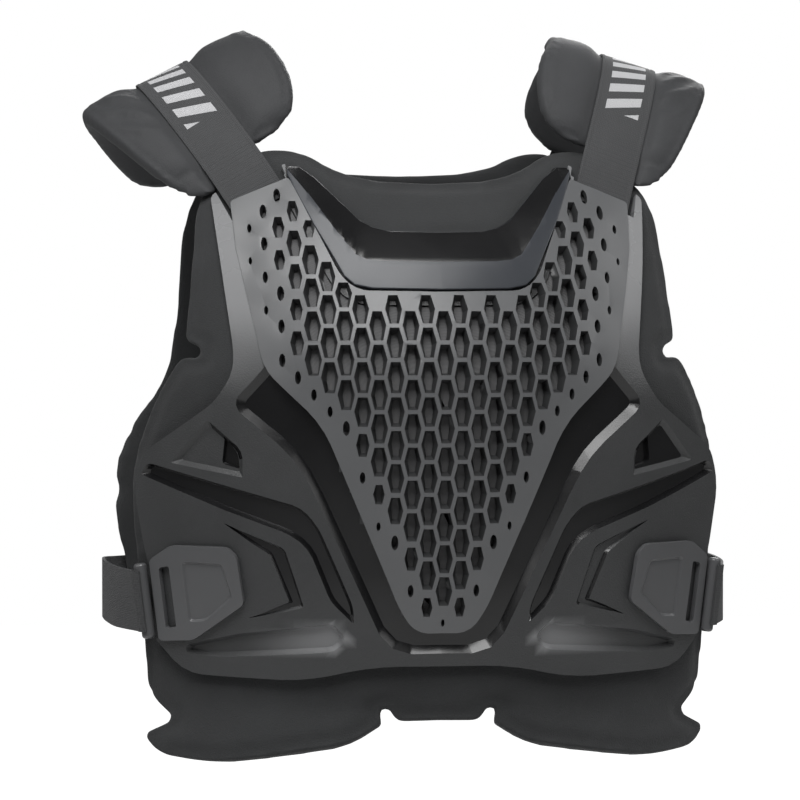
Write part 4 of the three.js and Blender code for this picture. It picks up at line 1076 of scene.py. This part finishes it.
def shoulder_frame(shoulder):
    """A function from span, -1 at the front foot to 1 at the back foot, to the webbing's frame."""
    s, p = sizes(), pads()
    side = shoulder["side"]
    crest = Vector((side * shoulder["crest"] * s.half_width, 0, shoulder["rise"] * s.half_width))
    lean = math.radians(shoulder["lean"])
    crest_across = Vector((-side * math.cos(lean), 0, math.sin(lean)))

    def foot_at(facing, height):
        x = side * shoulder["foot_across"] * s.half_width
        z = -shoulder["foot_down"] * s.height
        foot, normal = bend(x, z, height, facing), torso(x, z, facing)[1]
        down = (bend(x - side * 12 * shoulder["foot_turn"], z - 12, height, facing) - foot).normalized()
        across = down.cross(normal).normalized()
        if across.x * side > 0:
            across = -across
        lift = foot - down * p.run + normal * p.lift
        shelf = crest + Vector((0, facing * p.run, 0))
        return across, (crest, shelf, lift, foot)

    half_thickness = p.webbing_thickness / 2
    front = foot_at(-1, s.gap * 2 + half_thickness)
    back = foot_at(1, s.gap * 2 + BACK_PLATE_THICKNESS + half_thickness)

    def at(span):
        foot_across, (a, b, c, d) = front if span < 0 else back
        t = abs(span)
        u = 1 - t
        middle = a * u ** 3 + b * 3 * u * u * t + c * 3 * u * t * t + d * t ** 3
        along = (b - a) * 3 * u * u + (c - b) * 6 * u * t + (d - c) * 3 * t * t
        along = (along * (-1 if span < 0 else 1)).normalized()
        across = crest_across.lerp(foot_across, t * t * (3 - 2 * t))
        across = (across - along * across.dot(along)).normalized()
        up = (across.cross(along) * -side).normalized()
        return middle, across, along, up

    return at


def evaluated_mesh(obj):
    return bpy.data.meshes.new_from_object(obj.evaluated_get(bpy.context.evaluated_depsgraph_get()))


def puffed(bm, voxel, pressure, allow, settle=None):
    """The closed form remeshed, then filled by cloth pressure; allow gives a point's longest way.

    All lengths are in mm; the simulation itself runs in metres. settle may move the remeshed points first.
    """
    bmesh.ops.scale(bm, verts=bm.verts[:], vec=(MM, MM, MM))
    mesh = bpy.data.meshes.new("foam")
    bm.to_mesh(mesh)
    bm.free()
    obj = bpy.data.objects.new("foam", mesh)
    bpy.context.collection.objects.link(obj)
    remesh = obj.modifiers.new("remesh", 'REMESH')
    remesh.mode = 'VOXEL'
    remesh.voxel_size = voxel * MM
    mesh = evaluated_mesh(obj)
    obj.modifiers.clear()
    obj.data = mesh
    if settle:
        for vert in mesh.vertices:
            vert.co = settle(vert.co / MM) * MM
    start = [v.co.copy() for v in mesh.vertices]
    cloth = obj.modifiers.new("cloth", 'CLOTH')
    cloth.settings.use_pressure = True
    cloth.settings.uniform_pressure_force = pressure
    cloth.settings.effector_weights.gravity = 0
    cloth.settings.quality = 3
    cloth.settings.tension_stiffness = 20
    cloth.settings.compression_stiffness = 20
    cloth.settings.bending_stiffness = 1
    for number in range(1, pads().frames + 1):
        bpy.context.scene.frame_set(number)
    mesh = evaluated_mesh(obj)
    bpy.context.scene.frame_set(1)
    result = bmesh.new()
    result.from_mesh(mesh)
    for vert, place in zip(result.verts, start):
        move = vert.co - place
        most = allow(place / MM) * MM
        if move.length > most:
            move *= most / move.length
        vert.co = (place + move) / MM
    bpy.data.objects.remove(obj)
    return result


def build_shoulder(name):
    s, p = sizes(), pads()
    shoulder = SHOULDERS[name]
    at = shoulder_frame(shoulder)
    seat = -p.webbing_thickness / 2 - s.gap * 2
    first, last = PAD_OUTER[0][0], PAD_OUTER[-1][0]
    columns, rows = 36, 34
    half_web = p.webbing / 2 + s.gap * 2
    channel = 0.30

    def reach_at(span, inward):
        table = PAD_INNER if inward else PAD_OUTER
        place = span if inward or span > 0 else span * first / (first - p.drop)
        return smooth_table(table, place) * p.half_width * shoulder["inner" if inward else "outer"]

    bm = bmesh.new()
    bmesh.ops.create_grid(bm, x_segments=columns, y_segments=rows, size=1.0)
    made = bmesh.ops.extrude_face_region(bm, geom=bm.faces[:])
    upper = {v for v in made["geom"] if isinstance(v, bmesh.types.BMVert)}
    for vert in bm.verts:
        u, v = vert.co.x, (vert.co.y + 1) / 2
        inward = u >= 0
        share = abs(u)
        start = first if inward else first - p.drop * min(1.0, share / channel)
        span = start + (last - start) * v
        reach = reach_at(span, inward)
        if share < channel:
            away, along_share = share / channel * half_web, 0.0
        else:
            along_share = (share - channel) / (1 - channel)
            away = half_web + along_share * (reach - half_web)
        middle, across, along, up = at(span)
        way = min(1.0, abs(span) / last)
        if vert in upper:
            rise = straight_table(PAD_SECTION, along_share)
            end = 1 - ramp(way, 0.86, 1.0) * 0.6
            height = seat + p.lobe * rise * end - 2.0 * ramp(way, 0.95, 1.0)
        else:
            height = seat - p.thickness * (1 - 0.64 * way ** 3) * (1 - along_share ** 4 / 2)
        vert.co = middle + across * (away if inward else -away) + up * height
    bmesh.ops.recalc_face_normals(bm, faces=bm.faces[:])
    spans = [first - p.drop + (last - first + p.drop) * i / 60 for i in range(61)]
    stations = [(at(span), span) for span in spans]

    def locate(place):
        """Frame, span and signed way across of a point."""
        frame, span = min(stations, key=lambda item: (item[0][0] - place).length_squared)
        return frame, span, (place - frame[0]).dot(frame[1])

    def allow(place):
        frame, span, away = locate(place)
        if (place - frame[0]).dot(frame[3]) < -p.thickness * 0.5:
            return 1.6
        return 0.2 + 1.6 * ramp(abs(away) - p.webbing / 2, 2.0, 9.0)

    bm = puffed(bm, 3.2, p.puff, allow)
    bmesh.ops.smooth_vert(bm, verts=bm.verts[:], factor=0.5, use_axis_x=True, use_axis_y=True,
                          use_axis_z=True)
    for vert in bm.verts:
        (middle, across, along, up), span, away = locate(vert.co)
        if (vert.co - middle).dot(up) < -p.thickness * 0.55:
            continue
        reach = reach_at(span, away > 0)
        rim = reach - abs(away)
        ends = (min(span - first, last - span) + 0.02) * 125
        crease = math.exp(-((min(rim, max(ends, 0)) - 6.5) / 1.9) ** 2)
        lift = -1.5 * crease
        if away < 0:
            frame = ramp(min(-away - 25, reach - 10 + away), 0, 1.6) * ramp(0.18 - abs(span + 0.24), 0, 0.02)
            lift += frame * (1.5 * ramp(math.sin(span * 46 + away * 0.3), -0.1, 0.5) - 0.9)
        vert.co += up * lift * ramp(abs(away), half_web, half_web + 3)
    bmesh.ops.scale(bm, verts=bm.verts[:], vec=(MM, MM, MM))
    foam = surface("pad_foam", looks().pad, 0.62, scale=1100, strength=0.5, distance=0.0005, tint=0.3,
                   sheen=0.03, specular=0.2)
    node = f"shoulder_pad_{name}"
    obj = finish(bm, node + "_body", node, [foam], sharp=0, levels=1)
    build_webbing(name, at)


def build_webbing(name, at):
    p = pads()
    columns, rows = 40, 300
    bm = bmesh.new()
    bmesh.ops.create_grid(bm, x_segments=columns, y_segments=rows, size=1.0)
    made = bmesh.ops.extrude_face_region(bm, geom=bm.faces[:])
    upper = {v for v in made["geom"] if isinstance(v, bmesh.types.BMVert)}
    uv = bm.loops.layers.uv.new("web")
    length = 250.0
    placed = {}
    for vert in bm.verts:
        u, span = vert.co.x, vert.co.y
        middle, across, along, up = at(span)
        away = u * p.webbing / 2
        thickness = p.webbing_thickness / 2 * (1 - 0.35 * abs(u) ** 20)
        if vert in upper:
            thickness += 0.3 * ramp(abs(u), 0.86, 0.90) - 0.15 * math.exp(-((abs(u) - 0.84) / 0.03) ** 2)
            stitched = ramp(-span, 0.60, 0.68) * (1 - ramp(-span, 0.93, 0.95)) * (1 - ramp(abs(u), 0.84, 0.9))
            thickness += 0.16 * math.sin(span * length / 2 * math.pi / 1.35) * stitched
        height = thickness if vert in upper else -thickness
        placed[vert] = (away * MM, span * length / 2 * MM)
        vert.co = (middle + across * away + up * height) * MM
    for face in bm.faces:
        for loop in face.loops:
            loop[uv].uv = placed[loop.vert]
    bmesh.ops.recalc_face_normals(bm, faces=bm.faces[:])
    weave = surface("webbing_weave", looks().webbing, 0.74, kind="ribs", scale=260, strength=0.6,
                    distance=0.0005, tint=0.3, sheen=0.05, specular=0.3, coordinates='UV',
                    print_color=looks().print_grey)
    finish(bm, f"shoulder_strap_{name}_body", f"shoulder_strap_{name}", [weave], sharp=60)


# Side fastenings

def bar_line(side):
    s = sizes()
    top = Vector((side * BUCKLE_OUTLINE[0][0] * s.half_width, -BUCKLE_OUTLINE[0][1] * s.height))
    bottom = Vector((side * BUCKLE_OUTLINE[-1][0] * s.half_width, -BUCKLE_OUTLINE[-1][1] * s.height))
    edge = (bottom - top).normalized()
    out = Vector((-edge.y, edge.x))
    out *= math.copysign(1, out.x) * side * (BAR_RADIUS + s.gap * 2)
    height = s.gap * 2 + s.plate + BAR_RADIUS
    ends = [bend(end.x + out.x, end.y + out.y, height, -1) for end in (top, bottom)]
    return ends[0].lerp(ends[1], 0.5), (ends[1] - ends[0]).normalized()


def catmull(points, t):
    t = max(0.0, min(0.99999, t)) * (len(points) - 1)
    i = int(t)
    t -= i
    p0, p1 = points[max(i - 1, 0)], points[i]
    p2, p3 = points[i + 1], points[min(i + 2, len(points) - 1)]
    return 0.5 * (2 * p1 + (p2 - p0) * t + (2 * p0 - 5 * p1 + 4 * p2 - p3) * t * t
                  + (3 * p1 - p0 - 3 * p2 + p3) * t ** 3)


def build_side(name):
    s = sizes()
    side = -1 if name == "left" else 1
    low = s.gap * 2 + s.plate
    high = low + BUCKLE_THICKNESS
    plastic = surface("buckle_plastic", looks().buckle, 0.34, scale=1200, strength=0.12,
                      distance=0.0002, tint=0.1)
    bm = slab(BUCKLE_OUTLINE, low, high, side)
    cutter = bmesh.new()
    recess(cutter, BUCKLE_RECESS, high, 1.6, 1.2, side)
    bm = boolean(bm, cutter)
    bm = boolean(bm, slab(BUCKLE_SLOT, low - 1, high + 1, side))
    clean_flat(bm)
    soften(bm, 0.8)
    cut_net(bm, s.net)
    wrap(bm, -1)
    finish(bm, f"buckle_plate_{name}_body", f"buckle_plate_{name}", [plastic])

    middle, direction = bar_line(side)
    bm = bmesh.new()
    made = bmesh.ops.create_cone(bm, cap_ends=True, segments=24, radius1=BAR_RADIUS, radius2=BAR_RADIUS,
                                 depth=BAR_LENGTH)
    caps = [e for e in bm.edges if len(e.link_faces) == 2 and e.calc_face_angle() > 1.0]
    bmesh.ops.bevel(bm, geom=caps, offset=2.4, affect='EDGES', segments=4, profile=0.5, material=-1)
    turn = Vector((0, 0, 1)).rotation_difference(direction).to_matrix().to_4x4()
    bmesh.ops.transform(bm, matrix=turn, verts=bm.verts[:])
    bmesh.ops.translate(bm, verts=bm.verts[:], vec=middle)
    bmesh.ops.scale(bm, verts=bm.verts[:], vec=(MM, MM, MM))
    finish(bm, f"buckle_bar_{name}_body", f"buckle_bar_{name}", [plastic])

    radius = BAR_RADIUS + s.gap * 2 + SIDE_STRAP_THICKNESS / 2
    seat = s.gap * 3 + BACK_PLATE_THICKNESS + SIDE_STRAP_THICKNESS / 2

    def rail(up):
        on_bar = middle + direction * ((up - middle.z) / direction.z)
        stops = []
        for degrees in BAR_TURN:
            angle = math.radians(degrees)
            stops.append(Vector((on_bar.x + side * math.cos(angle) * radius,
                                 on_bar.y + math.sin(angle) * radius, up)))
        stops += [Vector((side * a * s.half_width, b * s.back_depth, up)) for a, b in SIDE_ROUTE]
        for a, lift in SIDE_END:
            point = bend(side * a * s.half_width, up, lift * seat + 0.4, 1)
            stops.append(Vector((point.x, point.y, up)))
        return stops

    rails = [rail(middle.z + end * SIDE_STRAP_WIDTH / 2) for end in (-1, 1)]
    bm = bmesh.new()
    bmesh.ops.create_grid(bm, x_segments=12, y_segments=120, size=1.0)
    made = bmesh.ops.extrude_face_region(bm, geom=bm.faces[:])
    upper = {v for v in made["geom"] if isinstance(v, bmesh.types.BMVert)}
    uv = bm.loops.layers.uv.new("web")
    placed = {}
    for vert in bm.verts:
        u, v = (vert.co.x + 1) / 2, (vert.co.y + 1) / 2
        places = [catmull(points, v) for points in rails]
        ahead = [catmull(points, v + 0.004) for points in rails]
        behind = [catmull(points, v - 0.004) for points in rails]
        tangent = (ahead[0] - behind[0]) + (ahead[1] - behind[1])
        out = Vector((tangent.y, -tangent.x, 0)).normalized() * side
        height = SIDE_STRAP_THICKNESS / 2 * (1 if vert in upper else -1)
        placed[vert] = (u * SIDE_STRAP_WIDTH * MM, v * 0.26)
        vert.co = (places[0].lerp(places[1], u) + out * height) * MM
    for face in bm.faces:
        for loop in face.loops:
            loop[uv].uv = placed[loop.vert]
    bmesh.ops.recalc_face_normals(bm, faces=bm.faces[:])
    weave = surface("side_webbing", looks().webbing, 0.74, kind="ribs", scale=260, strength=0.6,
                    distance=0.0005, tint=0.3, sheen=0.05, specular=0.3, coordinates='UV')
    finish(bm, f"side_strap_{name}_body", f"side_strap_{name}", [weave], sharp=60)


# Stage

def build_stage():
    stage = bpy.context.scene.deflector_stage
    azimuth, elevation = math.radians(stage.azimuth), math.radians(stage.elevation)
    look = Vector((-math.sin(azimuth) * math.cos(elevation), math.cos(azimuth) * math.cos(elevation),
                   -math.sin(elevation)))
    right = Vector((math.cos(azimuth), math.sin(azimuth), 0))
    target = right * -0.0089 + Vector((0, 0, -0.229))
    camera = bpy.data.objects.new("camera", bpy.data.cameras.new("camera"))
    camera.data.lens = stage.lens
    camera.data.sensor_width = 36
    camera.location = target - look * stage.distance
    camera.rotation_euler = look.to_track_quat('-Z', 'Y').to_euler()
    bpy.context.collection.objects.link(camera)
    bpy.context.scene.camera = camera

    bpy.context.scene.view_settings.view_transform = 'Standard'
    white = surface("studio_white", (0.86, 0.86, 0.86), 0.9, scale=40, strength=0.0, tint=0.004)
    shader = white.node_tree.nodes["Principled BSDF"]
    shader.inputs["Emission Color"].default_value = (1, 1, 1, 1)
    seen = white.node_tree.nodes.new('ShaderNodeLightPath')
    white.node_tree.links.new(seen.outputs["Is Camera Ray"], shader.inputs["Emission Strength"])
    bm = bmesh.new()
    bmesh.ops.create_grid(bm, x_segments=2, y_segments=2, size=6.0)
    bmesh.ops.translate(bm, verts=bm.verts[:], vec=(0, 0, -0.95))
    mesh = bpy.data.meshes.new("floor")
    bm.to_mesh(mesh)
    bm.free()
    mesh.materials.append(white)
    floor = bpy.data.objects.new("floor", mesh)
    bpy.context.collection.objects.link(floor)

    world = bpy.data.worlds.new("studio")
    world.use_nodes = True
    tree = world.node_tree
    background = tree.nodes["Background"]
    background.inputs["Color"].default_value = (1, 1, 1, 1)
    seen = tree.nodes.new('ShaderNodeLightPath')
    level = tree.nodes.new('ShaderNodeMapRange')
    level.inputs["To Min"].default_value = stage.ambient
    level.inputs["To Max"].default_value = 1.0
    tree.links.new(seen.outputs["Is Camera Ray"], level.inputs["Value"])
    tree.links.new(level.outputs["Result"], background.inputs["Strength"])
    bpy.context.scene.world = world

    lights = (
        ("top_front", (-0.25, -1.1, 1.15), (0, -0.1, -0.15), 1.1, stage.key),
        ("left", (-1.5, -0.6, 0.75), (0, -0.1, -0.25), 1.2, stage.side),
        ("right", (1.5, -0.5, 0.75), (0, -0.1, -0.25), 1.2, stage.side),
        ("behind", (0.6, 1.7, 0.9), (0, 0.1, -0.25), 1.2, stage.key),
    )
    for name, place, aim, size, power in lights:
        light = bpy.data.lights.new(name, 'AREA')
        light.shape = 'SQUARE'
        light.size = size
        light.energy = power
        obj = bpy.data.objects.new(name, light)
        obj.location = place
        obj.rotation_euler = (Vector(aim) - Vector(place)).to_track_quat('-Z', 'Y').to_euler()
        bpy.context.collection.objects.link(obj)


# Operators and panel

def piece_operator(suffix, label, doc, *steps):
    """An operator class that runs the steps."""
    def execute(self, context):
        for step, arguments in steps:
            step(*arguments)
        return {'FINISHED'}

    return type("DEFLECTOR_OT_" + suffix, (bpy.types.Operator,), {
        "bl_idname": "deflector." + suffix, "bl_label": label, "__doc__": doc, "execute": execute,
    })


OPERATORS = (
    piece_operator("stage", "Stage", "Make the camera, floor and lights", (build_stage, ())),
    piece_operator("front_liner", "Front liner", "Build the padded front body", (build_front_liner, ())),
    piece_operator("vent_backing", "Vent backing", "Build the cloth behind the openings",
                   (build_vent_backing, ())),
    piece_operator("base_plate", "Base plate", "Build the moulded front plate", (build_base_plate, ())),
    piece_operator("chest_panel", "Chest panel", "Build the vented panel", (build_chest_panel, ())),
    piece_operator("neck_band", "Neck band", "Build the gloss neck band", (build_neck_band, ())),
    piece_operator("back", "Back", "Build the back body and plate", (build_back, ())),
    piece_operator("shoulders", "Shoulders", "Build the shoulder pads and webbing",
                   (build_shoulder, ("left",)), (build_shoulder, ("right",))),
    piece_operator("sides", "Sides", "Build the buckles, bars and side webbing",
                   (build_side, ("left",)), (build_side, ("right",))),
)


class DEFLECTOR_PT_panel(bpy.types.Panel):
    """Lists the deflector's builders and settings"""
    bl_idname = "DEFLECTOR_PT_panel"
    bl_label = "Deflector"
    bl_space_type = 'VIEW_3D'
    bl_region_type = 'UI'
    bl_category = "Deflector"

    def draw(self, context):
        for operator in OPERATORS:
            self.layout.operator(operator.bl_idname)
        for settings in (sizes(), cells(), pads(), looks(), context.scene.deflector_stage):
            box = self.layout.box()
            for name in settings.bl_rna.properties.keys():
                if name not in {"rna_type", "name"}:
                    box.prop(settings, name)


CLASSES = (DeflectorSizes, CellSizes, PadSizes, Looks, StageSettings) + OPERATORS + (DEFLECTOR_PT_panel,)


def register():
    for cls in CLASSES:
        bpy.utils.register_class(cls)
    bpy.types.Scene.deflector_sizes = PointerProperty(type=DeflectorSizes)
    bpy.types.Scene.deflector_cells = PointerProperty(type=CellSizes)
    bpy.types.Scene.deflector_pads = PointerProperty(type=PadSizes)
    bpy.types.Scene.deflector_looks = PointerProperty(type=Looks)
    bpy.types.Scene.deflector_stage = PointerProperty(type=StageSettings)


def unregister():
    for name in ("sizes", "cells", "pads", "looks", "stage"):
        delattr(bpy.types.Scene, "deflector_" + name)
    for cls in reversed(CLASSES):
        bpy.utils.unregister_class(cls)


def main():
    register()
    bpy.ops.deflector.stage()
    bpy.ops.deflector.front_liner()
    bpy.ops.deflector.vent_backing()
    bpy.ops.deflector.base_plate()
    bpy.ops.deflector.chest_panel()
    bpy.ops.deflector.neck_band()
    bpy.ops.deflector.back()
    bpy.ops.deflector.shoulders()
    bpy.ops.deflector.sides()


if __name__ == "__main__":
    main()
